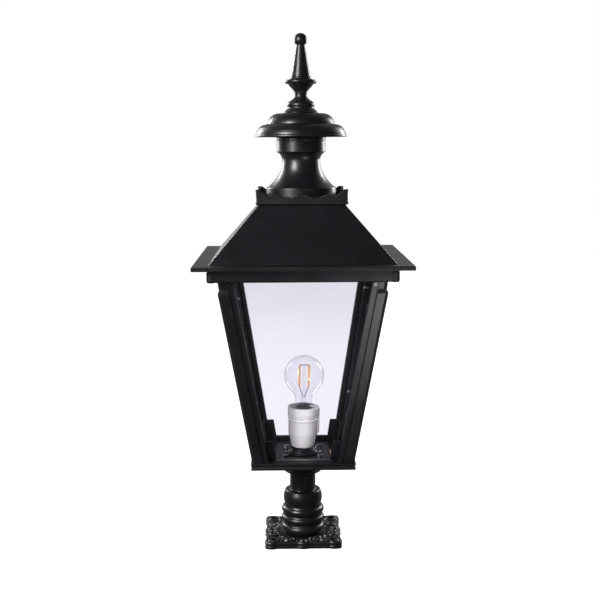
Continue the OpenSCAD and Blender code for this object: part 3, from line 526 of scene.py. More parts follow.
def cut(piece, *cutters):
    """Takes the cutters out of a piece, and removes them."""
    for cutter in cutters:
        hole = piece.modifiers.new("hole", "BOOLEAN")
        hole.operation = "DIFFERENCE"
        hole.solver = "EXACT"
        hole.object = cutter
        bpy.context.view_layer.update()
        done = piece.evaluated_get(bpy.context.evaluated_depsgraph_get())
        mesh = bpy.data.meshes.new_from_object(done)
        piece.modifiers.remove(hole)
        piece.data = mesh
        bpy.data.objects.remove(cutter)
    return piece


def drill(start, end, radius, sides=32):
    """A round cutter between two points, in millimetres."""
    a, b = Vector(start), Vector(end)
    turn_to = np.array((b - a).to_track_quat("Z", "Y").to_matrix())
    rings = turned([[radius, 0], [radius, (b - a).length]], sides) @ turn_to.T + np.array(a)
    return skin("drill", rings, loop=False)


def slab(low, high, name="slab"):
    """A box between two corners, in millimetres, as two square rings."""
    low, high = np.asarray(low, float), np.asarray(high, float)
    corners = np.array([[0, 0], [1, 0], [1, 1], [0, 1]])
    xy = low[:2] + corners * (high - low)[:2]
    rings = np.stack([np.column_stack([xy, np.full(4, z)]) for z in (low[2], high[2])])
    return skin(name, rings, loop=False)


def joined(name, pieces):
    """Several pieces as one mesh, with their modifiers worked out first."""
    bm = bmesh.new()
    bpy.context.view_layer.update()
    graph = bpy.context.evaluated_depsgraph_get()
    for piece in pieces:
        mesh = bpy.data.meshes.new_from_object(piece.evaluated_get(graph))
        bm.from_mesh(mesh)
        bpy.data.meshes.remove(mesh)
    whole = bpy.data.meshes.new(name)
    bm.to_mesh(whole)
    bm.free()
    for piece in pieces:
        bpy.data.objects.remove(piece)
    made = bpy.data.objects.new(name, whole)
    bpy.context.scene.collection.objects.link(made)
    return made


def stand_for(piece, *nodes):
    """The piece takes the place of these CAD nodes, with the body, slot and finish of the first."""
    slot = SLOT_OF[nodes[0]]
    piece.data.materials.clear()
    piece.data.materials.append(FINISH[slot])
    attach(piece, frame["nodes"][nodes[0]]["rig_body"])
    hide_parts(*nodes)
    print(piece.name, len(piece.data.polygons), "faces for", ", ".join(nodes))
    return piece


def add_on(piece, body, slot):
    """A piece that stands for no CAD node of its own: it rides on a body, with a slot and its finish."""
    piece.data.materials.append(FINISH[slot])
    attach(even(piece), body)
    print(piece.name, len(piece.data.polygons), "faces added to", body)
    return piece


def bottom(name):
    """Lowest height of a CAD node, in millimetres."""
    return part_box(name)[0].z * 1000


def top(name):
    """Highest height of a CAD node, in millimetres."""
    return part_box(name)[1].z * 1000


# %% [markdown]
# ## The foot plate
# A square casting with a lobe at each corner and side, a grooved band along its edge, a boss
# round each fixing hole, twisted gadroons at the pedestal, and two scrolls, a bead and a leaf
# on each side. It could be sculpted, but all of this relief is regular, so it is one height
# formula over a grid of rays from the middle.

# %% Foot plate outline and relief
FOOT_T = bottom("pedestal") - 1
FOOT_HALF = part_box("foot_plate")[1].x * 1000
HOLE_AT = frame["record"]["mounts"][0]["dims"]["pcd_mm"] / 2 / math.sqrt(2)
HOLE_R = frame["record"]["mounts"][0]["dims"]["hole_r_mm"]
CORNER_R, SIDE_R, WEB_IN = 11, 13, 1.9
corner_at, side_at = FOOT_HALF - CORNER_R, FOOT_HALF - SIDE_R
quarters = np.radians(np.arange(0, 360, 90))
LOBES = np.concatenate([side_at * np.stack([np.cos(quarters), np.sin(quarters)], 1),
                        corner_at * math.sqrt(2) * np.stack([np.cos(quarters + np.pi / 4),
                                                             np.sin(quarters + np.pi / 4)], 1)])
LOBE_R = np.repeat([SIDE_R, CORNER_R], 4)[:, None]


def foot_edge(a):
    """Distance of the plate's edge at angle a. A ray leaves a lobe with centre C and radius R at
    C.d + sqrt(R^2 - |C|^2 + (C.d)^2). The edge is the farthest of that for all lobes and of the web's
    square, blended by the 70th power so that the notches are soft."""
    way = np.stack([np.cos(a), np.sin(a)])
    web = (FOOT_HALF - WEB_IN) / np.max(np.abs(way), 0)
    ahead = LOBES @ way
    inside = LOBE_R ** 2 - np.sum(LOBES ** 2, 1)[:, None] + ahead ** 2
    leave = np.where((inside > 0) & (ahead > 0), ahead + np.sqrt(np.clip(inside, 0, None)), 1)
    every = np.vstack([web[None], leave]) / FOOT_HALF
    return FOOT_HALF * np.sum(every ** 70, 0) ** (1 / 70)


def plateau(x, low, high, soft):
    """1 between low and high, 0 outside, with soft sides: the product of two logistic steps."""
    return 1 / (1 + np.exp((low - x) / soft)) / (1 + np.exp((x - high) / soft))


def foot_relief(x, y, inset):
    """Height of the ornament above the plate, as the highest of its parts. inset is the way in from the
    edge."""
    r, a = np.hypot(x, y), np.arctan2(y, x)
    band = 1.7 * plateau(inset, 0.5, 5.6, 0.25) - 0.8 * plateau(inset, 2.6, 3.5, 0.2)
    from_hole = np.hypot(np.abs(x) - HOLE_AT, np.abs(y) - HOLE_AT)
    boss = 2.5 * plateau(from_hole, -9, 8.4, 0.3) - 0.7 * plateau(from_hole, 6.2, 7.1, 0.2)
    across, along = np.minimum(np.abs(x), np.abs(y)), np.maximum(np.abs(x), np.abs(y))
    scroll_at = np.hypot(across - 19, along - 43.5)
    scroll = 2.6 * np.sqrt(np.clip(1 - ((scroll_at - 6) / 2.3) ** 2, 0, 1)) + 2.4 * (scroll_at < 2.4)
    bead = np.sqrt(np.clip(36 - across ** 2 - (along - 48.5) ** 2, 0, None)) - 2.2
    twist = 0.5 + 0.5 * np.cos(28 * a + 0.55 * (r - 38))
    gadroons = 2.3 * plateau(r, 35.5, 43.5, 0.6) * (0.35 + 0.65 * twist)
    leaf = (0.5 + 1.3 * np.abs(np.cos(0.42 * along + 0.3 * across)) ** 0.7) * plateau(across, -2, 11, 0.8)
    leaf = leaf * plateau(along, 40, 51, 0.8)
    rays_out = 0.9 * np.abs(np.cos(0.38 * across)) * plateau(along, 40, 50, 0.8)
    rays_out = rays_out * plateau(across, 24, 36, 0.8)
    parts = np.stack([band, boss, scroll, bead, gadroons, leaf, rays_out])
    return np.max(parts, 0)


# %% [markdown]
# ## The foot plate, cast
# The relief could be a displacement, but a cast edge needs a wall and an underside as well. So
# the top is a grid of rays, the moulded wall hangs from its outline, and the four fixing holes
# are drilled through both.

# %% Foot plate mesh
rays = np.linspace(0, 2 * np.pi, 560, endpoint=False)
edge = foot_edge(rays)
BORE_R, SEAT_R = 20, 34
radius = BORE_R + np.linspace(0, 1, 92)[:, None] * (edge - BORE_R)
inset = edge - radius
x, y = radius * np.cos(rays), radius * np.sin(rays)
z = FOOT_T + foot_relief(x, y, inset) - 0.9 * np.clip(1 - inset / 0.9, 0, 1) ** 2
z = np.where(radius < SEAT_R, FOOT_T, z)
drop = soften([[0, FOOT_T + 0.2], [-0.1, FOOT_T - 2.2], [-1.1, FOOT_T - 3], [-1.1, FOOT_T - 4],
               [0, FOOT_T - 4.8], [0, 0.5], [-0.5, 0], [-3, 0]], 0.4, 4)[4:-4]
wall = np.stack([(edge + drop[:, :1]) * np.cos(rays), (edge + drop[:, :1]) * np.sin(rays),
                 drop[:, 1:] + 0 * rays], -1)
under = np.stack([BORE_R * np.cos(rays), BORE_R * np.sin(rays), 0 * rays], -1)[None]
foot = skin("foot_plate_cast", np.concatenate([np.stack([x, y, z], -1), wall, under]))
cut(foot, *[drill((i * HOLE_AT, j * HOLE_AT, -5), (i * HOLE_AT, j * HOLE_AT, 20), HOLE_R)
            for i in (-1, 1) for j in (-1, 1)])
stand_for(even(foot), "foot_plate")

# %% [markdown]
# ## Turned parts
# The pedestal, the boss under the floor, the chimney, the cowl and the finial are all turned.
# Each is one profile, radius and height, walked round the axis. Bores are part of the
# profile, so the piece is a true ring and not a lump. The pedestal has three rings, then a
# bulge and a neck, with a spigot on top that the boss drops over.

# %% Pedestal
P0, P1 = bottom("pedestal"), bottom("neck_boss") - 0.1
RING_R, BULGE_R, NECK_R, TUBE_R = 32.6, 29.2, 19.3, 5.05
SPIGOT_TOP = top("pedestal")
RINGS = (15, 12.5, 14.5)
first, second, third = P0 + RINGS[0], P0 + sum(RINGS[:2]), P0 + sum(RINGS)
bulge_top = third + 24
pedestal_profile = np.vstack([
    [[20, P0], [RING_R - 2.6, P0]],
    arc(RING_R - 6.2, P0 + 7.2, 6.2, -62, 62), [[RING_R - 3.4, first - 0.3]],
    arc(RING_R - 5.8, first + 6.2, 5.4, -62, 62), [[RING_R - 3.6, second]],
    arc(RING_R - 6.8, second + 7, 6.2, -62, 62), [[BULGE_R - 1.6, third + 0.3]],
    arc(BULGE_R - 24, third + 11, 24, -20, 22), arc(NECK_R + 4.2, bulge_top - 4.8, 4.4, 40, 88),
    arc(NECK_R + 1.5, bulge_top + 1.2, 1.5, 250, 180, 6), [[NECK_R, P1 - 4]],
    arc(NECK_R + 2.4, P1 - 2.4, 2.4, 180, 115, 6),
    [[NECK_R + 2, P1], [17, P1], [17, SPIGOT_TOP], [13, SPIGOT_TOP], [13, 28], [TUBE_R, 28],
     [TUBE_R, 22], [20, 22]]])
stand_for(even(skin("pedestal_turned", turned(pedestal_profile))), "pedestal")

# %% [markdown]
# ## The boss under the floor
# A small trumpet that widens from the neck to the floor. Its flare is a power curve, which is
# steep at the neck and flat at the rim. Four screws from the floor go into its blind holes.

# %% Boss
B0, B1 = bottom("neck_boss"), top("neck_boss")
BOSS_FOOT, BOSS_TOP = 28.4, 44
climb = np.linspace(0, 1, 24) ** 2
flare = np.stack([BOSS_FOOT + (BOSS_TOP - BOSS_FOOT) * climb ** 0.4, B0 + 4.6 + (B1 - B0 - 6.4) * climb], 1)
boss_profile = np.vstack([
    [[17.1, B0]], arc(BOSS_FOOT - 1.8, B0 + 1.8, 1.8, -90, 0, 6), flare,
    [[44, B1 - 1.6], [44, B1], [TUBE_R, B1], [TUBE_R, SPIGOT_TOP + 0.1], [17.1, SPIGOT_TOP + 0.1]]])
boss = skin("neck_boss_turned", turned(soften(boss_profile, 0.4, 3)))
SCREW_AT = 25
cut(boss, *[drill((i * SCREW_AT, j * SCREW_AT, B1 - 9.9), (i * SCREW_AT, j * SCREW_AT, B1 + 2), 2.05)
            for i in (-1, 1) for j in (-1, 1)])
stand_for(even(boss), "neck_boss")

# %% [markdown]
# ## The chimney
# A ring, a throat that narrows like a bottle, and a straight collar. A power curve gives the
# throat one even sweep, which a row of arcs would not. Six vents are drilled in its lid.

# %% Chimney
C0, C1 = bottom("chimney_neck"), top("chimney_neck")
BASE_R, WAIST_R, COLLAR_R, ROD_R = 50.5, 27.5, 35.3, 4.05
ring_top, flare_top, lip_top = C0 + 19, C0 + 57.5, C0 + 68.5
rise = np.linspace(0, 1, 30)
throat = np.stack([WAIST_R + (BASE_R - 2.4 - WAIST_R) * (1 - rise) ** 2.1,
                   ring_top + (flare_top - ring_top) * rise], 1)
swell = np.linspace(0.1, 1, 10)
lip = np.stack([WAIST_R + 4.6 * swell ** 2, flare_top + (lip_top - flare_top - 1) * swell], 1)
chimney_profile = np.vstack([
    [[18, C0], [BASE_R - 1.2, C0]], arc(BASE_R - 1.4, C0 + 1.4, 1.4, -60, 0, 4),
    arc(BASE_R - 1.6, ring_top - 1.6, 1.6, 0, 90, 6), throat, lip,
    [[COLLAR_R - 1.2, lip_top - 0.2], [COLLAR_R, lip_top + 1], [COLLAR_R, C1 - 5.2],
     [COLLAR_R + 0.4, C1 - 4.6], [COLLAR_R + 0.4, C1], [ROD_R, C1], [ROD_R, C1 - 5], [18, C1 - 5]]])
chimney = skin("chimney_turned", turned(soften(chimney_profile, 0.5, 3)))
VENT_AT, VENT_HOLE_R = 13, 3.5
spokes = [(VENT_AT * math.cos(s), VENT_AT * math.sin(s)) for s in np.radians(np.arange(30, 360, 60))]
cut(chimney, *[drill((i, j, C1 - 8), (i, j, C1 + 3), VENT_HOLE_R) for i, j in spokes])
stand_for(even(chimney), "chimney_neck")

# %% [markdown]
# ## The cowl
# Two tiers keep rain out and let warm air go. The brim is thin and hollow below, and the crown
# of the upper tier is one large arc, so that its highlight runs round without a break.

# %% Cowl
W0, W1 = bottom("cowl"), top("cowl")
BRIM_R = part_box("cowl")[1].x * 1000
TIER_R = BRIM_R - 17.4
cowl_profile = np.vstack([
    [[BRIM_R - 4, W0], [BRIM_R - 1.2, W0], [BRIM_R, W0 + 0.6], [BRIM_R - 0.3, W0 + 2.4],
     [BRIM_R - 1.3, W0 + 3.2], [BRIM_R - 1.6, W0 + 5.6], [BRIM_R - 3, W0 + 9.2],
     [BRIM_R - 5.4, W0 + 12.8], [BRIM_R - 8.6, W0 + 15.6],
     [BRIM_R - 12.6, W0 + 17.4], [TIER_R + 0.7, W0 + 18], [TIER_R, W0 + 18.6]],
    arc(TIER_R - 18, W0 + 15.4, 18.4, 13, 76, 16),
    [[BRIM_R - 38.5, W1 - 0.2], [ROD_R, W1], [ROD_R, W0], [9, W0], [9, W0 + 13],
     [BRIM_R - 14, W0 + 13], [BRIM_R - 5, W0 + 6]]])
stand_for(even(skin("cowl_turned", turned(soften(cowl_profile, 0.5, 3), 160))), "cowl")

# %% [markdown]
# ## The finial
# A spire with a ball, over a small vase. It is turned from one profile as well. Its tie rod ends
# in the blind bore at the bottom, and that is how one nut holds the whole roof together.

# %% Finial
F0, F1 = bottom("finial"), top("finial")
BALL_R, SPIRE_AT = 9.5, F0 + 50
finial_profile = np.vstack([
    [[ROD_R, F0], [26, F0], [24.4, F0 + 1.8], [21.6, F0 + 4.8], [19, F0 + 7]],
    arc(15.8, F0 + 12, 4.4, -45, 60, 10), arc(17.3, F0 + 26, 8, 250, 180, 12),
    [[9.5, F0 + 30], [10.9, F0 + 32.8], [13.4, F0 + 35.6], [16, F0 + 38], [17.4, F0 + 40.2],
     [18.4, F0 + 41.8]],
    arc(20.2, F0 + 44.6, 2.8, -70, 100, 12),
    [[16.6, F0 + 47.6], [15.4, SPIRE_AT - 1.2], [15.6, SPIRE_AT + 0.4], [14.6, SPIRE_AT + 1.4],
     [14.3, SPIRE_AT + 2.4], [14.6, SPIRE_AT + 3.2], [13.7, SPIRE_AT + 4.6], [6.4, F0 + 95.6]],
    arc(0, F1 - BALL_R, BALL_R, -47, 90, 24), [[0, F0 + 24], [ROD_R, F0 + 24]]])
stand_for(even(skin("finial_turned", turned(finial_profile))), "finial")

# %% [markdown]
# ## Square castings
# The floor, the top frame, the eave plate, the roof and the crown are profiles carried round
# a square. The floor's profile starts square at its rim and ends round at the lamp's pad, and
# its rim falls outwards so that rain runs off. The crown's edge rises and falls along each side.

# %% Floor casting
L0, L1 = bottom("floor_frame"), bottom("post_front_left")
FLOOR_HALF, FLOOR_RIM, PAD_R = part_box("floor_frame")[1].x * 1000, 16, 46
TRAY = FLOOR_HALF - FLOOR_RIM
PANEL = bottom("holder_dome")
RIM_FALL = 2.4
floor_rows = np.array([
    # half width, height, roundness: under the floor, out and up its moulded edge, then in over the rim
    [TUBE_R, L0, 1], [44, L0, 1], [PAD_R, L0 + 0.6, 1], [PAD_R, PANEL - 3, 1], [TRAY - 1.2, PANEL - 3, 0],
    [TRAY, L0, 0], [FLOOR_HALF - 1.6, L0, 0], [FLOOR_HALF - 0.4, L0 + 0.8, 0],
    [FLOOR_HALF - 0.4, L0 + 3.4, 0], [FLOOR_HALF - 1.7, L0 + 4.2, 0],
    [FLOOR_HALF - 1.7, L0 + 6.2, 0], [FLOOR_HALF - 0.9, L0 + 7, 0],
    [FLOOR_HALF, L0 + 7.8, 0], [FLOOR_HALF, L1 - 3.4, 0], [FLOOR_HALF - 0.8, L1 - RIM_FALL, 0],
    [TRAY + 7.2, L1 - 0.8, 0], [TRAY + 6.6, L1, 0], [TRAY + 1, L1, 0], [TRAY, L1 - 1, 0],
    [TRAY, PANEL + 0.8, 0], [TRAY - 0.9, PANEL, 0], [TRAY - 8, PANEL, 0.1],
    [40, PANEL, 0.9], [29, PANEL, 1], [TUBE_R, PANEL, 1]])
floor_casting = skin("floor_casting", squared(floor_rows[:, :2], 1.4, 12, floor_rows[:, 2]))
cut(floor_casting, *[drill((i * SCREW_AT, j * SCREW_AT, L0 - 3), (i * SCREW_AT, j * SCREW_AT, L1), 2.05, 16)
                     for i in (-1, 1) for j in (-1, 1)])
stand_for(even(floor_casting), "floor_frame")

# %% [markdown]
# ## Leaning corners
# The cage is wider at the top, so a post's section slides outwards as it goes up. The slope
# comes from the front pane's own box: its front face is 7.5 mm behind the posts' beads.

# %% The slope of the cage
PANE_NEAR, PANE_FAR, PANE_EDGE = 7.5, 11.5, 17
pane_low, pane_high = (np.array(c) * 1000 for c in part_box("glass_front"))
half_low, half_high = -pane_high[1] + PANE_FAR, -pane_low[1] + PANE_NEAR
SLOPE = (half_high - half_low) / (pane_high[2] - pane_low[2])
Z_CAGE, Z_TOP = L1, bottom("top_frame")


def half(z):
    """Half width over the posts' beads at height z."""
    return half_low + SLOPE * (z - pane_low[2])


def leaning(outlines, heights, turns=0):
    """Rings of a section that follows one leaning corner. outlines is one outline, or one for each height,
    of depths inwards from the corner: (u, v) becomes (half(z) - u, half(z) - v, z)."""
    z = np.asarray(heights, float)
    depths = np.broadcast_to(np.asarray(outlines, float), (len(z), *np.shape(outlines)[-2:]))
    xy = half(z)[:, None, None] - depths
    return quarter(np.concatenate([xy, z[:, None, None] + 0 * xy[..., :1]], -1), turns)


print("cage leans", round(math.degrees(math.atan(SLOPE)), 2), "degrees")

# %% [markdown]
# ## The posts
# An angle section with a raised bead, a groove beside it and a thinner flange for the glass. It
# could be swept along a curve, but a post keeps one section up to its lug, so a few rings do. The
# lug at its top is stepped back, and a round hole goes through each flange beside it.

# %% Posts
CHAMFER, BEAD_W, GROOVE_W, GROOVE_D, FLANGE_W, STEP, BACK, CORE = 4.5, 15.5, 3, 3, 24, 1.5, 6, 16
LUG_H, LUG_STEP, LUG_SLANT, LUG_HOLE_R, LUG_HOLE_Z = 11, 3.5, 6, 2.6, 5


def post_section(face):
    """Outline of a post whose bead is cut back by face, as depths from the corner."""
    g, inner = max(GROOVE_D, face + 0.5), BEAD_W + GROOVE_W
    leg = [[face + CHAMFER, face], [BEAD_W, face], [BEAD_W, g], [inner, g], [inner, STEP], [FLANGE_W, STEP],
           [FLANGE_W, BACK], [CORE, BACK]]
    return np.array(leg + [[CORE, CORE]] + [p[::-1] for p in leg[::-1]])


def post(name, turns):
    """A corner post with its lug, and the round hole through each flange."""
    z_lug, z_hole = Z_TOP - LUG_H, Z_TOP - LUG_HOLE_Z
    sections = [post_section(0), post_section(0), post_section(LUG_STEP), post_section(LUG_STEP)]
    heights = [Z_CAGE - RIM_FALL, z_lug - LUG_SLANT, z_lug, Z_TOP]
    piece = skin(name, leaning(sections, heights, turns), loop=False)
    at, out = half(z_hole) - (BEAD_W + GROOVE_W + 1.2), half(z_hole) + 5
    ends = [[(at, out - 16, z_hole), (at, out, z_hole)], [(out - 16, at, z_hole), (out, at, z_hole)]]
    cut(piece, *[drill(*[tuple(quarter(np.array(p), turns)) for p in pair], LUG_HOLE_R) for pair in ends])
    return stand_for(arris(piece, 0.7), name)


for turns, name in enumerate(["post_back_right", "post_back_left", "post_front_left", "post_front_right"]):
    post(name, turns).name = name + "_cast"

# %% [markdown]
# ## Glazing
# Each pane lies behind the flanges on a rubber strip, and an aluminium strip with screws
# holds it from inside. The pane's edges are ground, so they are rounded by a third of a
# millimetre.

# %% Panes, seals and strips
Z0, Z1 = pane_low[2], pane_high[2]
levels = np.linspace(Z0, Z1, 5)
for turns, name in enumerate(["glass_front", "glass_right", "glass_back", "glass_left"]):
    x = half(levels) - PANE_EDGE
    near, far = -(half(levels) - PANE_NEAR), -(half(levels) - PANE_FAR)
    ring = np.stack([np.stack([-x, near, levels], -1), np.stack([x, near, levels], -1),
                     np.stack([x, far, levels], -1), np.stack([-x, far, levels], -1)], 1)
    stand_for(arris(skin(name + "_pane", quarter(ring, turns), loop=False), 0.35, 2), name)


LUG_FOOT = Z_TOP - LUG_H - 0.5


def strips(along, deep, round_off):
    """Two strips up each corner, given by their place along the face and their depth behind it. They stop
    under the lugs, which leaves the lugs' holes open."""
    outline = np.array([[along[0], deep[0]], [along[1], deep[0]], [along[1], deep[1]], [along[0], deep[1]]])
    legs = [leaning(o, [Z0, LUG_FOOT], k) for k in range(4) for o in (outline, outline[:, ::-1])]
    return joined("glazing_strips", [arris(skin("strip", leg, loop=False), round_off, 2) for leg in legs])


stand_for(even(strips((PANE_EDGE + 1, FLANGE_W - 2), (BACK + 0.05, PANE_NEAR - 0.05), 0.5)),
          "glazing_seals")
STRIP_T = 4.2
stand_for(even(strips((CORE + 0.05, FLANGE_W - 0.05), (PANE_FAR + 0.05, PANE_FAR + 0.05 + STRIP_T), 0.6)),
          "glazing_beads")

# %% [markdown]
# ## Corner ears
# The floor casting grows an L-shaped ear inside each post, and a screw through it holds the
# post. It is the step that shows low down behind the glass.

# %% Ears of the floor casting
EAR_NEAR, EAR_T, EAR_W = CORE + 0.3, 4, 35
ear_outline = [[EAR_NEAR, EAR_NEAR], [EAR_W, EAR_NEAR], [EAR_W, EAR_NEAR + EAR_T],
               [EAR_NEAR + EAR_T + 4, EAR_NEAR + EAR_T], [EAR_NEAR + EAR_T, EAR_NEAR + EAR_T + 4],
               [EAR_NEAR + EAR_T, EAR_W], [EAR_NEAR, EAR_W]]
ear_top = top("floor_frame")
ear_rings = [leaning(ear_outline, [PANEL - 1, ear_top], k) for k in range(4)]
ears = joined("floor_ears", [arris(skin("ear", rings, loop=False), 0.8) for rings in ear_rings])
add_on(ears, "root", "powder_black")

# %% [markdown]
# ## The top frame
# A hollow square rail that is open below, so its four channels are cut out of a solid ring. A
# screw on each side locks the roof, and needs a hole through the rail.

# %% Top frame
T1 = top("top_frame")
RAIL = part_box("hinge_frame_leaves")[0].y * 1000 - 0.05
RAIL_W, RAIL_WALL, CHANNEL_TOP = 29.5, 4, 4
RAIL_IN = RAIL - RAIL_W
CHANNEL = half(Z_TOP) - FLANGE_W - 2
COLUMN_R = 6
column_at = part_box("top_frame")[1].x * 1000 - COLUMN_R
frame_profile = [[RAIL_IN, Z_TOP], [RAIL - 2.2, Z_TOP], [RAIL, Z_TOP + 2.2], [RAIL, T1], [RAIL_IN, T1]]
rail_ring = skin("top_frame_cast", squared(soften(frame_profile, [0.6, 1.2, 1.2, 0.6, 0.6], 4), 1.5))
channels = [slab((-CHANNEL, RAIL_IN + RAIL_WALL, Z_TOP - 3), (CHANNEL, RAIL - RAIL_WALL, T1 - CHANNEL_TOP)),
            slab((-CHANNEL, -RAIL + RAIL_WALL, Z_TOP - 3), (CHANNEL, -RAIL_IN - RAIL_WALL, T1 - CHANNEL_TOP)),
            slab((RAIL_IN + RAIL_WALL, -CHANNEL, Z_TOP - 3), (RAIL - RAIL_WALL, CHANNEL, T1 - CHANNEL_TOP)),
            slab((-RAIL + RAIL_WALL, -CHANNEL, Z_TOP - 3), (-RAIL_IN - RAIL_WALL, CHANNEL, T1 - CHANNEL_TOP))]
LOCK_Z = JOINTS["lock_turn_right"]["pos_m"][2] * 1000
LOCK_R = 2.55
locks = [drill((s * (RAIL_IN - 3), 0, LOCK_Z), (s * (RAIL + 3), 0, LOCK_Z), LOCK_R) for s in (-1, 1)]
cut(rail_ring, *channels, *locks)
stand_for(even(rail_ring), "top_frame")

# %% [markdown]
# ## The frame's corners
# A small turned column with two fillets hides each mitre of the rail.

# %% Corner columns
column_profile = soften([[0, Z_TOP], [COLUMN_R - 0.8, Z_TOP], [COLUMN_R - 0.4, Z_TOP + 1.6],
                         [COLUMN_R, Z_TOP + 2.4], [COLUMN_R, T1 - 2.6],
                         [COLUMN_R - 1, T1 - 2], [COLUMN_R - 1, T1 - 1.2],
                         [COLUMN_R, T1 - 0.8], [COLUMN_R, T1], [0, T1]],
                        [0, 0.5, 0.5, 0.5, 0.3, 0.3, 0.3, 0.3, 0.3, 0], 3)
column_rings = turned(column_profile, 48)
column_places = [np.array([i * column_at, j * column_at, 0]) for i in (-1, 1) for j in (-1, 1)]
columns = joined("top_frame_columns", [skin("column", column_rings + place) for place in column_places])
add_on(columns, "root", "powder_black")

# %% [markdown]
# ## The eave plate
# A flat square plate that overhangs the cage. Two tabs reach down inside the rail, where the
# lock screws catch them.

# %% Eave plate
E0, E1 = top("roof_gasket") + 0.2, bottom("roof_shell")
EAVE, EAVE_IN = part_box("eave_plate")[1].x * 1000, RAIL_IN - 10
eave_profile = [[EAVE_IN, E0], [EAVE, E0], [EAVE, E1], [EAVE_IN, E1]]
eave = skin("eave_plate_cast", squared(soften(eave_profile, [0.5, 1.2, 1.2, 0.5], 4), 1.6))
tabs = [slab((s * (RAIL_IN - 0.3 - 1.5) - 1.5, -8, bottom("eave_plate")),
             (s * (RAIL_IN - 0.3 - 1.5) + 1.5, 8, E0 + 0.5)) for s in (-1, 1)]
eave = joined("eave_plate_cast", [eave, *[arris(tab, 0.8) for tab in tabs]])
stand_for(even(eave), "eave_plate")

# %% [markdown]
# ## The roof
# A hollow pyramid with a flat top. The rings stay square up to the top and turn round there,
# which gives the vent hole that the lamp's warm air leaves by.

# %% Roof
VENT_R = 28
R0, R1 = bottom("roof_shell"), top("roof_shell")
ROOF_BASE, ROOF_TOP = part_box("roof_shell")[1].x * 1000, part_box("crown_collar")[1].x * 1000 - 4
lean = (ROOF_BASE - ROOF_TOP) / (R1 - R0)
roof_profile = [[EAVE_IN, R0], [ROOF_BASE, R0], [ROOF_BASE - 0.6, R0 + 0.7], [ROOF_TOP, R1],
                [VENT_R, R1], [VENT_R, R1 - 3], [ROOF_TOP - 3.8 + lean * 3, R1 - 3],
                [ROOF_BASE - 3.8 - lean * 4, R0 + 4], [EAVE_IN, R0 + 4]]
roof_outline = np.array(soften(roof_profile, 0.6, 3))
roof = skin("roof_cast", squared(roof_outline, 2.2, 12, roof_outline[:, 0] < VENT_R + 2))
stand_for(even(roof), "roof_shell")

# %% [markdown]
# ## The crown
# A square deck with a scalloped edge standing up round it. The edge could be cut from a taller
# wall, but its height is a formula, so the rings are simply lifted by it.

# %% Crown
K0 = bottom("crown_collar")
CROWN, DECK_T, CROWN_WALL, CROWN_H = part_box("crown_collar")[1].x * 1000, 4, 4, 12


def scallop(x):
    """Height of the crown's edge at distance x from the middle of a side: a raised cosine over the middle
    part, then a straight climb to the corner's peak and a short fall past it."""
    last = CROWN - 17
    middle = CROWN_H + 0.5 + 2.8 * np.cos(2.5 * np.pi * x / last)
    climb = CROWN_H + 0.5 + (x - last) * 9.5 / 13
    peak = CROWN_H + 10 - (x - CROWN + 4) * 0.6
    return np.where(x > CROWN - 4, peak, np.where(x > last, climb, middle))


crown_rows = np.array([
    # half width, height, share of the scallop, roundness
    [VENT_R, 0, 0, 1], [CROWN - 1.8, 0, 0, 0], [CROWN, 1.6, 0, 0], [CROWN, 3.4, 0, 0], [CROWN - 0.8, 4, 0, 0],
    [CROWN - 0.8, -1.6, 1, 0], [CROWN - 0.2, -1.0, 1, 0], [CROWN - 0.2, -0.3, 1, 0], [CROWN - 1, 0, 1, 0],
    [CROWN - CROWN_WALL + 1, 0, 1, 0], [CROWN - CROWN_WALL, -0.8, 1, 0],
    [CROWN - CROWN_WALL, DECK_T + 0.6, 0, 0], [CROWN - CROWN_WALL - 0.6, DECK_T, 0, 0],
    [VENT_R, DECK_T, 0, 1]])
crown_rings = squared(crown_rows[:, :2], 1.4, 64, crown_rows[:, 3])
along = np.minimum(np.abs(crown_rings[..., 0]), np.abs(crown_rings[..., 1]))
along = np.minimum(along * CROWN / crown_rows[:, :1], CROWN)
crown_rings[..., 2] += K0 + crown_rows[:, 2:3] * scallop(along)
stand_for(even(skin("crown_cast", crown_rings)), "crown_collar")

# %% [markdown]
# ## The lamp holder and the bulb
# Both lean a little to the right, about the same axis as the bulb's joint. So their rings are
# made upright, along that axis, and one function puts them in place. The domed plate under
# them stands straight.

# %% Lamp axis and dome
LAMP = JOINTS["bulb_turn"]
lamp_from = np.array(LAMP["pos_m"]) * 1000
lamp_turn = np.array(Vector((0, 0, 1)).rotation_difference(Vector(LAMP["axis"])).to_matrix())


def on_lamp(rings):
    """Rings given along the lamp's own axis, put in place."""
    return rings @ lamp_turn.T + lamp_from


def sleeve_dome():
    """The domed plate under the holder, with two raised rings."""
    d0, d1 = bottom("holder_dome"), top("holder_dome")
    rows = np.vstack([[[26.2, d0], [28, d0], [28, d0 + 1.6]], arc(26.2, d0 + 1.8, 1.8, 0, 110, 6),
                      [[24.4, d0 + 2.6], [22.8, d0 + 3]], arc(21, d0 + 4, 1.5, 20, 160, 8),
                      [[19, d0 + 4.6], [18.2, d0 + 6.2], [17.4, d1 - 0.6], [16.6, d1], [TUBE_R, d1],
                       [TUBE_R, d1 - 1.8], [14.5, d1 - 1.8], [19.5, d0 + 3], [26.2, d0 + 1]]])
    return skin("holder_dome_turned", turned(rows))


stand_for(even(sleeve_dome()), "holder_dome")

# %% [markdown]
# ## The porcelain holder
# Thick glazed clay, softly rounded by the glaze, with a tapered foot, a stepped neck and one
# rib down its side. Each corner has its own rounding, because a glaze runs thin on an outer edge and
# fills an inner one.

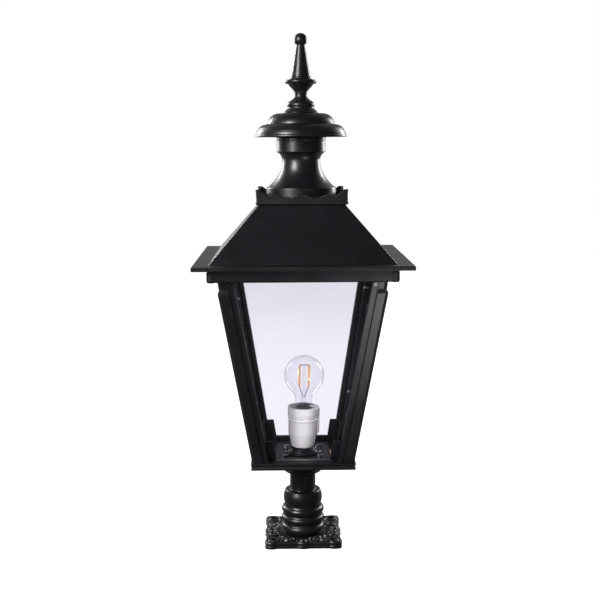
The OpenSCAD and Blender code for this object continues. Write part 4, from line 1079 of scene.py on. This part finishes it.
# %% Porcelain holder
H, HR, WELL, SHELL_R = 61.5, 22, 26, 15.4
holder_profile = soften([
    [TUBE_R + 1, 0], [15.6, 0], [17, 1.4], [HR - 0.8, 18.5], [HR, 21], [HR, 40.4], [HR + 1, 41.4],
    [HR + 1, 43.4], [HR + 0.2, 44], [HR + 0.2, 46], [HR + 1, 46.6], [HR + 1, 49.4], [HR + 1.6, 50.4],
    [HR + 1.6, H - 1.2], [HR + 0.6, H], [SHELL_R + 2.8, H], [SHELL_R + 2, H - 1], [SHELL_R + 2, H - 4],
    [SHELL_R + 0.1, H - 4], [SHELL_R + 0.1, WELL], [4, WELL], [4, WELL - 4], [12, WELL - 4], [12, 9],
    [TUBE_R + 1, 9]],
    [0.2, 1.5, 1, 3, 3, 1, 0.8, 0.6, 0.5, 0.5, 0.6, 0.8, 1, 1.4, 1.2, 1, 0.8, 0.3, 0.2, 0.2, 0.2, 0.2, 0.2,
     0.2, 0.2], 5)
rib_outline = np.array([[HR - 3, -2.6], [HR + 2.5, -2.6], [HR + 2.5, 2.6], [HR - 3, 2.6]])
rib_turn = np.radians(-8)
spin = np.array([[math.cos(rib_turn), math.sin(rib_turn)], [-math.sin(rib_turn), math.cos(rib_turn)]])
rib_xy = rib_outline @ spin
rib_rings = np.stack([np.column_stack([rib_xy, np.full(4, h)]) for h in (22, H - 2)])
holder = joined("holder_porcelain", [even(skin("pot", on_lamp(turned(holder_profile, 96)))),
                                     arris(skin("rib", on_lamp(rib_rings), loop=False), 1.2, 4)])
stand_for(even(holder), "holder_body")


# %% [markdown]
# ## The sleeve's thread
# Rolled sheet has the same wavy thread inside and out. A stack of separate rings would look right
# from the side only, so this is a true helix: the wave's phase turns with height.


# %% Threads
def thread(radius, depth, pitch, z0, z1, sides=72, steps_a_turn=10):
    """Rings of a rolled thread: the radius at angle a and height z is radius + depth cos(a - 2 pi z /
    pitch), and the depth fades out within one pitch of each end."""
    a = np.linspace(0, 2 * np.pi, sides, endpoint=False)
    z = np.linspace(z0, z1, int((z1 - z0) / pitch * steps_a_turn))[:, None]
    fade = np.clip(np.minimum(z - z0, z1 - z) / pitch, 0, 1)
    r = radius + depth * fade * np.cos(a - 2 * np.pi * z / pitch)
    return np.stack([r * np.cos(a), r * np.sin(a), z + 0 * a], -1)


THREAD = 3.6
shell_out = thread(SHELL_R - 0.55, 0.35, THREAD, WELL + 0.2, WELL + 29)
shell_in = thread(SHELL_R - 0.95, 0.25, THREAD, WELL + 1.2, WELL + 29)[::-1]
floor_rings = turned([[6, WELL + 1.2], [6, WELL + 0.2]], 72)
stand_for(skin("holder_sleeve", on_lamp(np.concatenate([shell_out, shell_in, floor_rings]))), "holder_shell")

# %% [markdown]
# ## The bulb's glass
# A globe that runs into its neck in one curve. The blown wall is so thin that one surface stands
# for both of its faces. That also keeps the row of glass faces short that light has to cross from
# one side of the lantern to the other.

# %% Bulb glass
CAP_R, TIP_Z = 13.2, WELL + 6.5
CAP_Z = TIP_Z + 5.5
GLASS_Z = CAP_Z + 22.1
GLOBE_R = 30
GLOBE_Z = GLASS_Z + 49
envelope = np.vstack([[[CAP_R - 0.5, GLASS_Z], [CAP_R - 0.5, GLASS_Z + 9]],
                      arc(CAP_R + 13.5, GLASS_Z + 12, 14, 180, 146, 10),
                      arc(0, GLOBE_Z, GLOBE_R, -36, 90, 48)])
bulb = skin("bulb_envelope", on_lamp(turned(np.vstack([[[0, GLASS_Z]], envelope]), 128)))
stand_for(bulb, "bulb_glass")

# %% [markdown]
# ## The screw cap
# The cap's thread is the same helix as the sleeve's. Below it are a black glass insulator and a
# drop of solder, the lamp's second contact.

# %% Cap, insulator and tip
cap_out = thread(CAP_R - 0.45, 0.42, THREAD, CAP_Z, CAP_Z + 17)
cap_rows = turned([[CAP_R - 0.8, CAP_Z + 17.4], [CAP_R - 0.1, CAP_Z + 18], [CAP_R, CAP_Z + 19],
                   [CAP_R, CAP_Z + 22], [CAP_R - 1, CAP_Z + 22],
                   [CAP_R - 1.4, CAP_Z + 21], [CAP_R - 1.4, CAP_Z]], 72)
stand_for(skin("bulb_screw_cap", on_lamp(np.concatenate([cap_out, cap_rows]))), "bulb_cap")
insulator = [[2.6, TIP_Z + 1], [5, TIP_Z + 1], [8, TIP_Z + 2.2], [CAP_R - 2.6, CAP_Z - 0.9],
             [CAP_R - 1.5, CAP_Z], [CAP_R - 1.5, CAP_Z + 2], [2.6, CAP_Z + 2]]
stand_for(skin("bulb_insulator_glass", on_lamp(turned(soften(insulator, 0.6, 4), 64))), "bulb_insulator")
tip = np.vstack([[[0, TIP_Z]], arc(3.4, TIP_Z + 0.9, 0.9, -90, 60, 6),
                 [[2.5, TIP_Z + 1.2], [2.5, CAP_Z + 3], [0, CAP_Z + 3]]])
stand_for(skin("bulb_tip_solder", on_lamp(turned(tip, 48))), "bulb_tip")

# %% [markdown]
# ## The stem
# A pressed glass foot that thins to a rod up the middle of the bulb and carries everything in it.

# %% Stem
STEM_Z, STEM_TOP, STRIP_L, STRIP_X, STRIP_Y, STRIP_R = GLASS_Z + 1.1, GLOBE_Z + 16, 30, 7, 4, 1.4
stem_profile = soften([[0, STEM_Z], [10, STEM_Z], [9, STEM_Z + 2], [4, STEM_Z + 8], [3.2, STEM_Z + 22],
                       [1.3, STEM_Z + 26], [1.3, STEM_TOP], [0, STEM_TOP]], [0, 0.5, 1, 3, 3, 1.5, 0.6, 0], 5)
stand_for(skin("bulb_stem_glass", on_lamp(turned(stem_profile, 48))), "bulb_stem")

# %% [markdown]
# ## Wires and light strips
# Four yellow light strips hang between bent wires. A wire is round rings along a curve through
# three points, and a strip is turned, with round ends.


# %% Wires and light strips
def wire(points, radius, sides=10, steps=14):
    """Rings along a quadratic curve through three points, square to it."""
    a, b, c = (np.array(p, float) for p in points)
    t = np.linspace(0, 1, steps)[:, None]
    line = (1 - t) ** 2 * a + 2 * t * (1 - t) * b + t ** 2 * c
    ahead = np.gradient(line, axis=0)
    ahead /= np.linalg.norm(ahead, axis=1, keepdims=True)
    side = np.cross(ahead, [0.3, 1, 0.1])
    side /= np.linalg.norm(side, axis=1, keepdims=True)
    other = np.cross(ahead, side)
    s = np.linspace(0, 2 * np.pi, sides, endpoint=False)[None, :, None]
    return line[:, None] + radius * (np.cos(s) * side[:, None] + np.sin(s) * other[:, None])


corners = [(i * STRIP_X, j * STRIP_Y) for i in (-1, 1) for j in (-1, 1)]
strip_low, strip_high = STEM_TOP - STRIP_L - 2.2, STEM_TOP - 1.8
WIRE_R = 0.35
wires = [wire([(0, 0, STEM_TOP - 0.6), (x * 0.7, y * 0.7, STEM_TOP - 0.2), (x, y, strip_high)], WIRE_R)
         for x, y in corners]
wires += [wire([(x * 0.1, y * 0.1, STEM_Z + 14), (x * 0.5, y * 0.5, STEM_Z + 20), (x, y, strip_low)], WIRE_R)
          for x, y in corners]
supports = joined("bulb_wires", [skin("wire", on_lamp(w), loop=False) for w in wires])
supports.data.materials.append(FINISH["zinc_steel"])
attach(supports, "bulb")
strip_profile = np.vstack([[[0, strip_low]], arc(STRIP_R - 0.9, strip_low + 0.9, 0.9, -90, 0, 5),
                           arc(STRIP_R - 0.9, strip_high - 0.9, 0.9, 0, 90, 5), [[0, strip_high]]])
lights = joined("bulb_light_strips", [skin("strip", on_lamp(turned(strip_profile, 20) + np.array([x, y, 0])))
                                      for x, y in corners])
stand_for(even(lights), "bulb_filaments")
